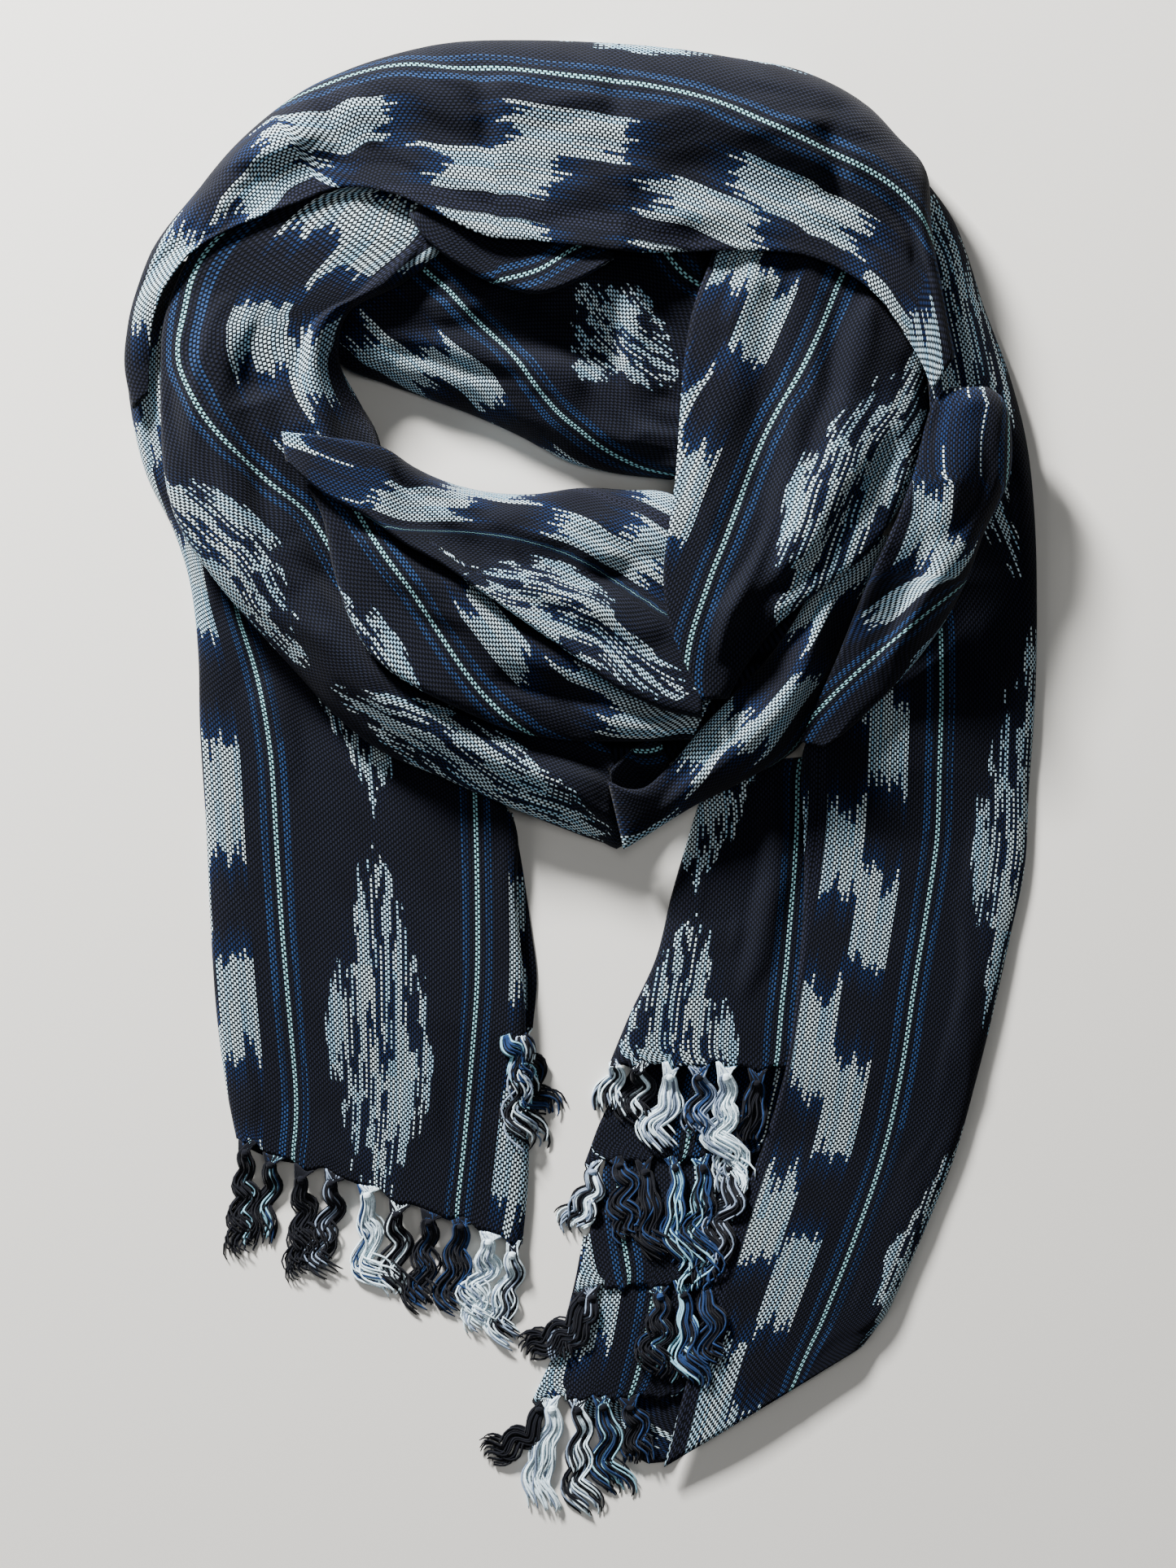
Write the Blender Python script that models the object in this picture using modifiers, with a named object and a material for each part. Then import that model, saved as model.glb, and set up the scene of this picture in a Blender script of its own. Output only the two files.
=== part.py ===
"""A woven ikat scarf, laid on a table in a loose loop with both fringed ends below it.

Metres, +Z up, the scarf lying on z = 0. Tables are in millimetres from the middle of the laid scarf:
+X to the right and +Y towards the top of the loop, as seen from straight above.
The one cloth is built as the stretches of it that show. Each is an open surface worked out from a
short table of sections, given its wall by Solidify, and laid on what is already there.
"""

import math

import bmesh
import bpy
import numpy as np

MM = 0.001
WALL = 1.4            # cloth with its nap, as one wall
SEAM = 0.3            # gap left between two pieces of cloth that lie on each other
CELL = 0.7            # grid of the height map that the pieces are laid on
HALF_X = 240.0
HALF_Y = 390.0
STATION = 19.0        # length of cloth between two sections
LEAST_RISE = 5.0      # least height of a stretch over what carries its edges

COTTON_COLOUR = (0.022, 0.028, 0.060, 1.0)
YARN_COLOUR = (0.30, 0.36, 0.44, 1.0)
COTTON_ROUGHNESS = 0.85

# One row for each stretch of cloth. Edges are "fold" (rolled under, with a flap) or "selvage".
# flap: how far a folded edge reaches back under, mm. rim: height of a selvage, as a share of the
# crown. across: number of points across the top.
# name: (left edge, right edge, flap, left rim, right rim, across)
STRETCHES = {
    "bottom_fold": ("selvage", "selvage", 0, 0.0, 0.0, 5),
    "lower_end": ("selvage", "selvage", 0, 0.0, 0.0, 5),
    "third_end": ("selvage", "selvage", 0, 0.0, 0.0, 5),
    "middle_end": ("selvage", "selvage", 0, 0.0, 0.0, 5),
    "upper_end": ("fold", "selvage", 22, 1.0, 0.6, 8),
    "left_under_edge": ("selvage", "selvage", 0, 0.0, 0.0, 3),
    "left_tail": ("fold", "fold", 34, 1.0, 1.0, 10),
    "back_band": ("fold", "selvage", 7, 1.0, 0.9, 9),
    "left_band": ("fold", "fold", 10, 1.0, 1.0, 10),
    "crossing_band": ("fold", "fold", 7, 1.0, 1.0, 8),
    "front_band": ("selvage", "fold", 8, 0.9, 1.0, 8),
    "front_roll": ("fold", "fold", 8, 1.0, 1.0, 9),
    "inner_curl": ("fold", "selvage", 6, 1.0, 0.9, 6),
    "inner_band": ("selvage", "fold", 9, 0.72, 1.0, 9),
    "right_tail": ("selvage", "fold", 42, 0.35, 1.0, 9),
    "right_fold": ("selvage", "fold", 8, 0.7, 1.0, 8),
    "outer_arc": ("selvage", "fold", 10, 0.72, 1.0, 10),
}

# Sections of each stretch: left edge x, y, right edge x, y, height of the crown.
SECTIONS = {
    "bottom_fold": (
        (33, -339, 47, -337, 3),
        (19, -331, 55, -326, 3),
        (6, -320, 63, -310, 3),
        (-6, -307, 70, -292, 3),
        (-6, -278, 76, -276, 3),
        (0, -246, 82, -246, 3),
    ),
    "lower_end": (
        (-24, -307, 50, -305, 4),
        (-12, -280, 62, -278, 4),
        (-4, -252, 68, -252, 4),
        (1, -226, 74, -226, 4),
    ),
    "third_end": (
        (-3, -252, 62, -249, 3),
        (3, -228, 70, -226, 3),
        (9, -202, 79, -202, 3),
        (16, -172, 92, -170, 3),
    ),
    "middle_end": (
        (2, -189, 76, -186, 3),
        (12, -164, 86, -162, 3),
        (30, -136, 98, -136, 3),
        (46, -108, 104, -108, 3),
    ),
    "upper_end": (
        (14, -140, 110, -143, 7),
        (24, -116, 118, -116, 7),
        (37, -88, 120, -88, 7),
        (45, -56, 122, -60, 7),
        (52, -32, 122, -32, 7),
        (59, -10, 118, -6, 7),
        (68, 8, 114, 12, 6),
    ),
    "left_under_edge": (
        (-58, -121, -24, -123, 3),
        (-58, -96, -22, -98, 3),
        (-58, -68, -25, -72, 3),
        (-58, -40, -29, -44, 3),
        (-62, -16, -34, -16, 3),
    ),
    "left_tail": (
        (-171, -178, -29, -230, 6),
        (-176, -152, -26, -191, 7),
        (-181, -114, -27, -145, 7),
        (-184, -68, -28, -104, 7),
        (-186, -22, -32, -60, 7),
        (-189, 24, -35, -16, 7),
        (-190, 64, -78, 22, 8),
        (-194, 98, -126, 62, 8),
        (-203, 126, -161, 99, 9),
        (-215, 150, -178, 136, 11),
        (-222, 176, -187, 172, 12),
        (-225, 203, -188, 206, 12),
        (-222, 230, -183, 234, 12),
        (-212, 256, -172, 256, 11),
    ),
    "right_tail": (
        (150, 282, 169, 300, 13),
        (154, 260, 186, 275, 15),
        (163, 228, 200, 234, 17),
        (170, 196, 212, 202, 17),
        (170, 160, 221, 167, 16),
        (158, 124, 225, 128, 14),
        (142, 84, 226, 82, 11),
        (126, 48, 225, 38, 9),
        (109, 14, 222, -4, 8),
        (110, -24, 220, -42, 8),
        (110, -60, 213, -76, 8),
        (107, -98, 205, -112, 8),
        (102, -138, 196, -148, 8),
        (91, -178, 185, -187, 8),
        (76, -216, 170, -224, 8),
        (63, -258, 154, -260, 8),
        (52, -298, 146, -272, 7),
        (41, -340, 140, -280, 6),
    ),
    "back_band": (
        (-128, 224, -86, 268, 20),
        (-118, 205, -62, 264, 24),
        (-98, 197, -38, 264, 27),
        (-78, 190, -8, 272, 28),
        (-56, 182, 22, 278, 28),
        (-33, 172, 54, 268, 28),
        (-18, 164, 62, 224, 27),
        (-4, 157, 70, 204, 26),
        (18, 152, 74, 184, 26),
        (44, 149, 78, 160, 26),
    ),
    "left_band": (
        (-150, 306, -76, 304, 22),
        (-176, 284, -64, 287, 26),
        (-194, 254, -66, 263, 29),
        (-204, 227, -86, 244, 32),
        (-206, 204, -113, 230, 34),
        (-206, 176, -119, 208, 35),
        (-204, 148, -110, 188, 36),
        (-197, 124, -101, 172, 36),
        (-181, 100, -96, 154, 36),
        (-161, 76, -90, 128, 34),
        (-141, 54, -80, 104, 32),
        (-121, 32, -68, 80, 31),
        (-98, 14, -52, 60, 30),
        (-70, 2, -36, 44, 28),
        (-38, -12, -20, 32, 27),
        (-6, -25, 0, 26, 26),
        (12, -31, 18, 14, 24),
        (26, -35, 32, 6, 21),
    ),
    "front_band": (
        (-110, 150, -134, 144, 30),
        (-98, 144, -126, 128, 33),
        (-86, 136, -121, 104, 36),
        (-70, 128, -113, 80, 37),
        (-52, 122, -101, 60, 37),
        (-34, 115, -82, 46, 37),
        (-14, 104, -60, 35, 36),
        (6, 92, -36, 25, 35),
        (26, 76, -10, 20, 33),
        (46, 60, 22, 19, 31),
        (66, 44, 54, 20, 29),
    ),
    "front_roll": (
        (-146, 170, -144, 156, 30),
        (-122, 167, -126, 140, 34),
        (-98, 163, -104, 128, 38),
        (-82, 154, -86, 115, 40),
        (-67, 148, -68, 105, 40),
        (-46, 143, -46, 90, 40),
        (-24, 142, -26, 76, 40),
        (-1, 145, -6, 62, 39),
        (22, 144, 16, 46, 37),
        (45, 141, 38, 35, 35),
        (62, 124, 59, 30, 32),
    ),
    "inner_curl": (
        (-84, 276, -78, 281, 29),
        (-76, 264, -68, 279, 30),
        (-61, 252, -56, 276, 31),
        (-42, 242, -38, 272, 32),
        (-20, 237, -20, 270, 32),
        (0, 244, -2, 270, 31),
        (16, 254, 14, 270, 30),
    ),
    "crossing_band": (
        (14, -12, 22, -34, 20),
        (30, -6, 40, -22, 24),
        (44, 8, 57, -12, 28),
        (59, 26, 81, 0, 32),
        (74, 42, 107, 16, 35),
        (90, 58, 118, 36, 36),
        (104, 78, 128, 64, 36),
        (116, 100, 140, 92, 36),
        (130, 118, 154, 120, 35),
    ),
    "inner_band": (
        (68, 270, 148, 248, 33),
        (63, 254, 162, 224, 36),
        (54, 228, 174, 196, 40),
        (50, 202, 178, 176, 43),
        (48, 176, 170, 156, 44),
        (46, 148, 156, 134, 44),
        (43, 124, 140, 111, 43),
        (40, 100, 120, 95, 41),
        (43, 76, 96, 76, 38),
        (51, 56, 80, 55, 34),
        (59, 39, 72, 40, 30),
    ),
    "right_fold": (
        (180, 192, 199, 193, 33),
        (172, 185, 207, 187, 39),
        (167, 170, 211, 172, 42),
        (162, 150, 210, 148, 44),
        (154, 128, 198, 122, 45),
        (143, 104, 190, 100, 44),
        (134, 82, 180, 80, 41),
        (126, 62, 164, 58, 37),
        (118, 44, 146, 39, 31),
        (112, 30, 130, 24, 25),
        (107, 19, 118, 16, 20),
    ),
    "outer_arc": (
        (-213, 190, -221, 183, 14),
        (-212, 206, -225, 203, 16),
        (-210, 225, -224, 221, 19),
        (-202, 244, -220, 239, 22),
        (-188, 260, -210, 264, 28),
        (-166, 272, -193, 288, 32),
        (-140, 282, -170, 316, 35),
        (-116, 290, -142, 339, 37),
        (-92, 286, -116, 352, 38),
        (-70, 276, -88, 361, 39),
        (-46, 265, -62, 366, 40),
        (-24, 263, -30, 367, 40),
        (0, 260, 6, 366, 40),
        (26, 257, 40, 363, 40),
        (54, 258, 74, 358, 41),
        (82, 258, 108, 352, 42),
        (108, 256, 138, 337, 42),
        (128, 248, 156, 318, 42),
        (144, 236, 170, 299, 41),
        (156, 220, 172, 268, 40),
        (166, 203, 178, 232, 38),
        (171, 190, 183, 208, 34),
    ),
}

CORE_STATION = 30.0
# Across the hidden layers, from the inner edge to the outer: share of the width, and of the height.
# Each edge has three rounded layers of cloth, one on the other, with a groove between each two.
CORE_PROFILE = (
    (0.03, 0.0, 0.04, 0.01, 0.06, 0.04, 0.16, 0.5, 0.84, 0.96, 0.94, 0.99, 0.96, 1.0, 0.97),
    (0.0, 0.16, 0.32, 0.46, 0.62, 0.76, 0.92, 1.0, 0.92, 0.76, 0.62, 0.46, 0.32, 0.16, 0.0),
)
# The hidden layers: inner edge x, y, outer edge x, y, height. The ring closes on itself.
CORE_SECTIONS = (
    (-126, 196, -197, 192, 20),
    (-114, 166, -190, 144, 20),
    (-101, 144, -154, 96, 20),
    (-72, 130, -105, 46, 20),
    (-36, 127, -52, 18, 20),
    (2, 128, 8, -6, 18),
    (34, 128, 54, 14, 18),
    (58, 128, 98, 38, 20),
    (66, 140, 138, 104, 22),
    (68, 160, 158, 160, 22),
    (66, 184, 158, 216, 22),
    (54, 208, 143, 276, 22),
    (30, 216, 110, 324, 22),
    (-6, 216, 58, 347, 22),
    (-42, 224, -6, 350, 22),
    (-74, 230, -70, 347, 22),
    (-102, 236, -126, 324, 22),
    (-126, 226, -172, 284, 20),
)

# Largest folds. A row: from, to (share of the stretch's length), across at from, across at to
# (share of its width), depth in mm (a trough is negative), half-width in mm.
FOLDS = {
    "outer_arc": (
        (0.18, 0.52, 0.55, 0.30, -4.0, 14),
        (0.45, 0.85, 0.60, 0.70, 3.0, 16),
        (0.60, 0.98, 0.30, 0.45, -4.0, 13),
    ),
    "left_band": (
        (0.05, 0.30, 0.62, 0.55, -7.0, 12),
        (0.15, 0.50, 0.30, 0.35, 4.0, 14),
        (0.25, 0.62, 0.62, 0.60, -6.0, 12),
        (0.45, 0.90, 0.35, 0.40, 5.0, 16),
    ),
    "front_band": ((0.10, 0.80, 0.55, 0.45, 4.0, 13), (0.30, 0.95, 0.20, 0.25, -5.0, 9)),
    "front_roll": ((0.05, 0.55, 0.62, 0.55, -6.0, 9), (0.40, 0.95, 0.45, 0.50, -5.0, 11)),
    "back_band": ((0.10, 0.85, 0.40, 0.35, -5.0, 12), (0.25, 0.80, 0.70, 0.62, 4.0, 12)),
    "inner_band": ((0.10, 0.80, 0.30, 0.35, -6.0, 13), (0.30, 0.95, 0.65, 0.62, 4.0, 13)),
    "crossing_band": ((0.30, 0.90, 0.50, 0.55, 3.0, 9),),
    "right_fold": ((0.25, 0.95, 0.35, 0.40, -5.0, 8),),
    "right_tail": ((0.30, 0.85, 0.50, 0.45, -2.5, 22), (0.02, 0.30, 0.50, 0.50, 3.0, 14)),
    "left_tail": ((0.02, 0.60, 0.45, 0.50, -3.0, 24), (0.35, 0.75, 0.25, 0.30, 2.0, 14)),
}

# One row for each tassel: root (share of the hem), heading in degrees from -Y towards +X,
# length in mm, sway in mm, bends, strands.
TASSELS = {
    "fringe_left": (
        (0.05, 14, 54, 3.0, 0.9, 3),
        (0.15, 4, 46, 2.5, 1.1, 3),
        (0.25, 17, 48, 2.5, 0.8, 3),
        (0.35, 6, 50, 4.0, 1.0, 3),
        (0.46, 24, 54, 4.5, 1.2, 3),
        (0.56, 6, 34, 1.5, 0.8, 2),
        (0.66, 3, 44, 2.0, 0.9, 3),
        (0.76, 6, 44, 3.0, 1.0, 3),
        (0.87, -6, 44, 4.5, 1.3, 3),
        (0.96, -4, 48, 4.0, 1.2, 3),
    ),
    "fringe_left_under": (
        (0.62, 42, 42, 3.0, 0.8, 3),
        (0.92, 30, 46, 4.0, 1.1, 3),
    ),
    "fringe_upper": (
        (0.04, -12, 26, 2.0, 0.8, 2),
        (0.20, -4, 28, 2.5, 0.9, 3),
        (0.36, -12, 40, 5.0, 1.1, 3),
        (0.50, 4, 36, 3.0, 1.0, 3),
        (0.63, 2, 62, 5.0, 1.6, 3),
        (0.78, -14, 34, 3.0, 1.0, 3),
    ),
    "fringe_middle": (
        (0.05, -24, 36, 3.0, 1.0, 3),
        (0.19, 14, 40, 3.0, 1.1, 3),
        (0.34, 10, 46, 4.0, 1.2, 3),
        (0.50, 2, 58, 4.0, 1.4, 3),
        (0.66, -4, 66, 5.0, 1.6, 3),
        (0.82, -12, 54, 4.0, 1.2, 3),
    ),
    "fringe_third": (
        (0.03, -64, 46, 3.0, 0.9, 3),
        (0.11, -44, 40, 3.0, 1.0, 3),
        (0.60, -4, 46, 3.5, 1.2, 3),
        (0.76, 4, 50, 4.0, 1.3, 3),
        (0.92, 10, 40, 3.0, 1.0, 2),
    ),
    "fringe_lower": (
        (0.02, -66, 42, 3.0, 0.9, 3),
        (0.12, -14, 54, 4.5, 1.3, 3),
        (0.30, 4, 58, 4.0, 1.2, 3),
        (0.46, 12, 50, 4.0, 1.2, 3),
        (0.64, 22, 34, 3.0, 1.0, 2),
    ),
}
FRINGE_HEMS = {
    "fringe_left": "left_tail",
    "fringe_left_under": "left_under_edge",
    "fringe_upper": "upper_end",
    "fringe_middle": "middle_end",
    "fringe_third": "third_end",
    "fringe_lower": "lower_end",
}

LAY_ROUNDS = 60       # most rounds of raising a stretch off what lies below it
LAY_TOLERANCE = 0.01
SPREAD_ROUNDS = 4     # rounds in which a lifted spot also lifts its neighbours
CURL_RADIUS = 2.6     # outer radius of a folded edge where it turns under
STRIP_WIDTH = 2.2     # the knots' strip along a hem
STRIP_THICK = 1.2
STRAND_WIDTH = 2.3
STRAND_PITCH = 2.9
STRAND_RINGS = 5
SEAT_STEPS = 16       # places looked at between two rings of a strand
SEAT_REACH = 2.7      # how far to each side of its path
SEAT_OFFSETS = 7      # and at how many places on the way there
DROP_SHARE = 0.45     # share of a strand's length over which it comes down from its hem
# A strand's knot, neck and loose end: share of its length, width and height there.
STRAND_PROFILE = ((0, 0.2, 0.4, 0.8, 1), (2.4, 2.6, 2.0, 2.3, 1.2), (2.0, 2.4, 1.6, 1.5, 0.9))
HEM_GAP = 0.35        # gap between a hem and its strip of knots
FLOOR_GAP = 0.35      # and below a loose end that lies on the table


def read_table(rows, spacing, closed=False):
    """Rows of a table, read at even steps of length on the smooth curve through them.

    The curve is Catmull-Rom: between two rows b and c, with a before and d after, it leaves b
    along c - a and reaches c along d - b.
    """
    rows = np.array(rows, float)
    if closed:
        padded = np.vstack([rows[-1:], rows, rows[:2]])
    else:
        padded = np.vstack([2 * rows[0] - rows[1], rows, 2 * rows[-1] - rows[-2]])
    step = np.linspace(0, 1, 16, endpoint=False)[:, None]
    spans = []
    for a, b, c, d in zip(padded, padded[1:], padded[2:], padded[3:]):
        square = (2 * a - 5 * b + 4 * c - d) * step**2
        cube = (3 * b - a - 3 * c + d) * step**3
        spans.append(0.5 * (2 * b + (c - a) * step + square + cube))
    spans.append(padded[-2:-1])
    dense = np.vstack(spans)
    middle = (dense[:, 0:2] + dense[:, 2:4]) / 2
    run = np.concatenate([[0], np.cumsum(np.linalg.norm(np.diff(middle, axis=0), axis=1))])
    count = max(3, round(run[-1] / spacing) + 1)
    at = np.linspace(0, run[-1], count)
    read = np.column_stack([np.interp(at, run, column) for column in dense.T])
    return read[:-1] if closed else read


def shoulder(share, reach):
    """Height of a folded edge: a quarter of an ellipse, from 0 at the edge to 1 at its reach."""
    inward = np.minimum(share / reach, 1)
    return np.sqrt(np.maximum(1 - (1 - inward) ** 2, 0))


def droop(share, rim):
    """Height of a selvage: it falls softly from 1, half way across, to its rim at the edge."""
    return rim + (1 - rim) * np.sin(np.pi / 2 * np.minimum(share / 0.5, 1))


def fold_heights(name, along, across, width):
    """Sum of the stretch's folds: each is a bell across its line, growing and fading along it."""
    total = np.zeros(np.broadcast(along, across).shape)
    for start, end, first, last, depth, half in FOLDS.get(name, ()):
        place = np.clip((along - start) / (end - start), 0, 1)
        centre = first + (last - first) * place
        bell = np.exp(-(((across - centre) * width / half) ** 2))
        total += depth * np.sin(np.pi * place) ** 0.7 * bell
    return total


def across_steps(left, right, count):
    """Shares of the width, closer together beside a folded edge."""
    even = np.linspace(0, 1, count)
    if left == "fold" and right == "fold":
        eased = (1 - np.cos(np.pi * even)) / 2
    elif right == "fold":
        eased = np.sin(np.pi / 2 * even)
    elif left == "fold":
        eased = 1 - np.cos(np.pi / 2 * even)
    else:
        eased = even
    return 0.75 * eased + 0.25 * even


def edge_base(edge, inward, reach, grown):
    """Height that carries each section's edge: the most that lies under its flap, evened along it."""
    most = np.zeros(len(edge))
    for share in np.linspace(0, 1, 9):
        places = np.column_stack([edge + inward * reach * share, most])
        most = np.maximum(most, grown[Pile.cells(places)])
    padded = np.pad(most, 1, mode="edge")
    widest = np.maximum(np.maximum(padded[:-2], padded[2:]), most)
    padded = np.pad(widest, 1, mode="edge")
    evened = (padded[:-2] + 2 * widest + padded[2:]) / 4
    return np.where(widest > 0, evened + SEAM, 0)[:, None]


def ribbon(name, grown):
    """Points of a stretch, (sections, across, xyz), and what each column of them belongs to.

    Across a section the points run along the flap under the left edge, round the curl, over the
    top and round to the flap under the right edge. A selvage has no flap and no curl.
    """
    left, right, flap, left_rim, right_rim, count = STRETCHES[name]
    table = read_table(SECTIONS[name], STATION)
    start, end, crown = table[:, None, 0:2], table[:, None, 2:4], table[:, 4:5]
    width = np.linalg.norm(end - start, axis=2)
    inward = (end - start)[:, 0] / width
    along = np.linspace(0, 1, len(table))[:, None]
    share = across_steps(left, right, count)[None, :]
    curl = np.minimum(CURL_RADIUS, 0.35 * width)
    under = np.minimum(max(flap, 1.0), 0.38 * width)
    left_base = edge_base(start[:, 0], inward, under, grown)
    right_base = edge_base(end[:, 0], -inward, under, grown)
    left_start = left_base + (curl if left == "fold" else WALL)
    right_start = right_base + (curl if right == "fold" else WALL)
    base = left_start + (right_start - left_start) * share
    rise = np.ones_like(share * width)
    reach = np.clip((1.3 * (crown - left_base) + 4) / width, 0.05, 0.5)
    rise = rise * (shoulder(share, reach) if left == "fold" else droop(share, left_rim))
    reach = np.clip((1.3 * (crown - right_base) + 4) / width, 0.05, 0.5)
    rise = rise * (shoulder(1 - share, reach) if right == "fold" else droop(1 - share, right_rim))
    least = min(LEAST_RISE, table[:, 4].min()) - WALL
    top = base + np.maximum(crown - base + fold_heights(name, along, share, width), least) * rise
    distance = [share * width]
    height = [top]
    turned = curl * (1 - math.sqrt(0.5))
    edge = np.hstack([under, curl, turned])
    edge_height = np.hstack([0 * curl, 0 * curl, turned])
    if left == "fold":
        distance.insert(0, edge)
        height.insert(0, edge_height + left_base)
    if right == "fold":
        distance.append((width - edge)[:, ::-1])
        height.append(edge_height[:, ::-1] + right_base)
    distance = np.hstack(distance)
    height = np.hstack(height)
    plan = start + (end - start) * (distance / width)[:, :, None]
    points = np.dstack([plan, height])
    kinds = ["flap", "flap", "curl"] * (left == "fold") + ["top"] * count
    kinds += ["curl", "flap", "flap"] * (right == "fold")
    return points, np.array(kinds)


def facing(points):
    """1 where the stretch's left edge is on the left of its direction, so faces listed across
    then along look up, and -1 where it is on the right."""
    i, j = points.shape[0] // 2, points.shape[1] // 2
    ahead = points[i + 1, j] - points[i, j]
    sideways = points[i, j + 1] - points[i, j]
    return 1.0 if np.cross(sideways, ahead)[2] > 0 else -1.0


def outward(points):
    """Unit normals of a grid of points, on the side away from the cloth's inner face."""
    ahead = np.gradient(points, axis=0)
    sideways = np.gradient(points, axis=1)
    normal = np.cross(sideways, ahead) * facing(points)
    return normal / np.maximum(np.linalg.norm(normal, axis=2, keepdims=True), 1e-9)


def corner_weights(steps):
    """Shares of a quad's four corners at a grid of places in it, for both ways to cut it in two."""
    p, q = np.meshgrid(np.linspace(0, 1, steps), np.linspace(0, 1, steps))
    p, q = p.ravel(), q.ravel()
    zero = np.zeros_like(p)
    low = np.where(p >= q, 1 - p, 1 - q)
    first = np.stack([low, np.maximum(p - q, 0), np.minimum(p, q), np.maximum(q - p, 0)], axis=1)
    inside = p + q <= 1
    second = np.stack(
        [
            np.where(inside, 1 - p - q, zero),
            np.where(inside, p, 1 - q),
            np.where(inside, zero, p + q - 1),
            np.where(inside, q, 1 - p),
        ],
        axis=1,
    )
    return np.vstack([first, second])


def quad_corners(shape):
    """Flat indices of the four corners of every quad of a grid: here, ahead, across ahead, across."""
    index = np.arange(shape[0] * shape[1]).reshape(shape[:2])
    return np.stack([index[:-1, :-1], index[1:, :-1], index[1:, 1:], index[:-1, 1:]], axis=-1)


class Pile:
    """Height map of everything laid so far: the highest cloth over each cell of the table."""

    def __init__(self):
        size = (int(2 * HALF_X / CELL), int(2 * HALF_Y / CELL))
        self.height = np.zeros(size)

    @staticmethod
    def cells(places):
        x = np.clip(((places[..., 0] + HALF_X) / CELL).astype(int), 0, int(2 * HALF_X / CELL) - 1)
        y = np.clip(((places[..., 1] + HALF_Y) / CELL).astype(int), 0, int(2 * HALF_Y / CELL) - 1)
        return x, y

    def add(self, places):
        x, y = self.cells(places)
        np.maximum.at(self.height, (x, y), places[..., 2])

    def grown(self):
        """The map with each cell raised to the highest of its neighbours."""
        grown = self.height.copy()
        grown[1:] = np.maximum(grown[1:], self.height[:-1])
        grown[:-1] = np.maximum(grown[:-1], self.height[1:])
        along = grown.copy()
        grown[:, 1:] = np.maximum(grown[:, 1:], along[:, :-1])
        grown[:, :-1] = np.maximum(grown[:, :-1], along[:, 1:])
        return grown


def needed(heights, places):
    """How far below its seat each place is: its seat is a seam's gap over any cloth there."""
    support = heights[Pile.cells(places)]
    return np.where(support > 0, support + SEAM, 0) - places[..., 2]


def spread(lift):
    """Each value raised to the mean of it and its neighbours, so a lifted spot bends the cloth."""
    padded = np.pad(lift, 1, mode="edge")
    beside = (padded[:-2, 1:-1] + padded[2:, 1:-1] + padded[1:-1, :-2] + padded[1:-1, 2:]) / 4
    return np.maximum(lift, 0.5 * lift + 0.5 * beside)


def lay(points, kinds, pile):
    """The stretch, raised wherever it would cut into what lies below it or into its own flaps."""
    steps = int(math.ceil(STATION * 1.4 / (0.75 * CELL))) + 1
    weights = corner_weights(steps)
    share = weights / np.sum(weights**2, axis=1, keepdims=True)
    corners = quad_corners(points.shape).reshape(-1, 4)
    columns = np.stack([kinds[:-1], kinds[1:]], axis=1)
    is_flap = (columns == "flap").all(axis=1)
    is_top = (columns == "top").all(axis=1)
    quads = points.shape[0] - 1
    flap_quads = corners[np.tile(is_flap, quads)]
    top_quads = corners[np.tile(is_top, quads)]
    other_quads = corners[~np.tile(is_top, quads)]
    lift = np.zeros(points.shape[:2])
    grown = pile.grown()
    for attempt in range(LAY_ROUNDS):
        outer = points.copy()
        outer[:, :, 2] += lift
        normal = outward(outer)
        inner = (outer - normal * WALL).reshape(-1, 3)
        outer = outer.reshape(-1, 3)
        own = Pile()
        if len(flap_quads):
            above = np.maximum(outer[:, 2:3], inner[:, 2:3])
            own.add(np.einsum("kc,qcx->qkx", weights, np.hstack([outer[:, :2], above])[flap_quads]))
        raised = np.zeros(len(outer))
        worst = 0.0
        for surface, chosen, height in (
            (inner, top_quads, np.maximum(grown, own.height)),
            (inner, other_quads, grown),
            (outer, other_quads, grown),
        ):
            if not len(chosen):
                continue
            places = np.einsum("kc,qcx->qkx", weights, surface[chosen])
            lack = np.maximum(needed(height, places), 0)
            worst = max(worst, lack.max())
            for corner in range(4):
                push = (lack * share[None, :, corner]).max(axis=1)
                np.maximum.at(raised, chosen[:, corner], push)
        if worst < LAY_TOLERANCE:
            break
        lift = lift + raised.reshape(lift.shape)
        if attempt < SPREAD_ROUNDS:
            lift = spread(lift)
    laid = points.copy()
    laid[:, :, 2] += lift
    pile.add(np.einsum("kc,qcx->qkx", weights, laid.reshape(-1, 3)[corners]))
    return laid


def cotton(name, colour):
    """Plain woven cotton: dull, with no metal in it."""
    material = bpy.data.materials.new(name)
    material.use_nodes = True
    shader = material.node_tree.nodes["Principled BSDF"]
    shader.inputs["Base Color"].default_value = colour
    shader.inputs["Roughness"].default_value = COTTON_ROUGHNESS
    shader.inputs["Metallic"].default_value = 0.0
    material.diffuse_color = colour
    return material


def put(name, vertices, faces, material, collection):
    """A mesh object of points in millimetres, in the scarf's collection."""
    mesh = bpy.data.meshes.new(name)
    placed = np.array(vertices) * MM
    mesh.from_pydata(placed.tolist(), [], faces)
    mesh.update()
    piece = bpy.data.objects.new(name, mesh)
    mesh.materials.append(material)
    collection.objects.link(piece)
    mesh.shade_smooth()
    mesh.set_sharp_from_angle(angle=math.radians(60))
    return piece


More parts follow.
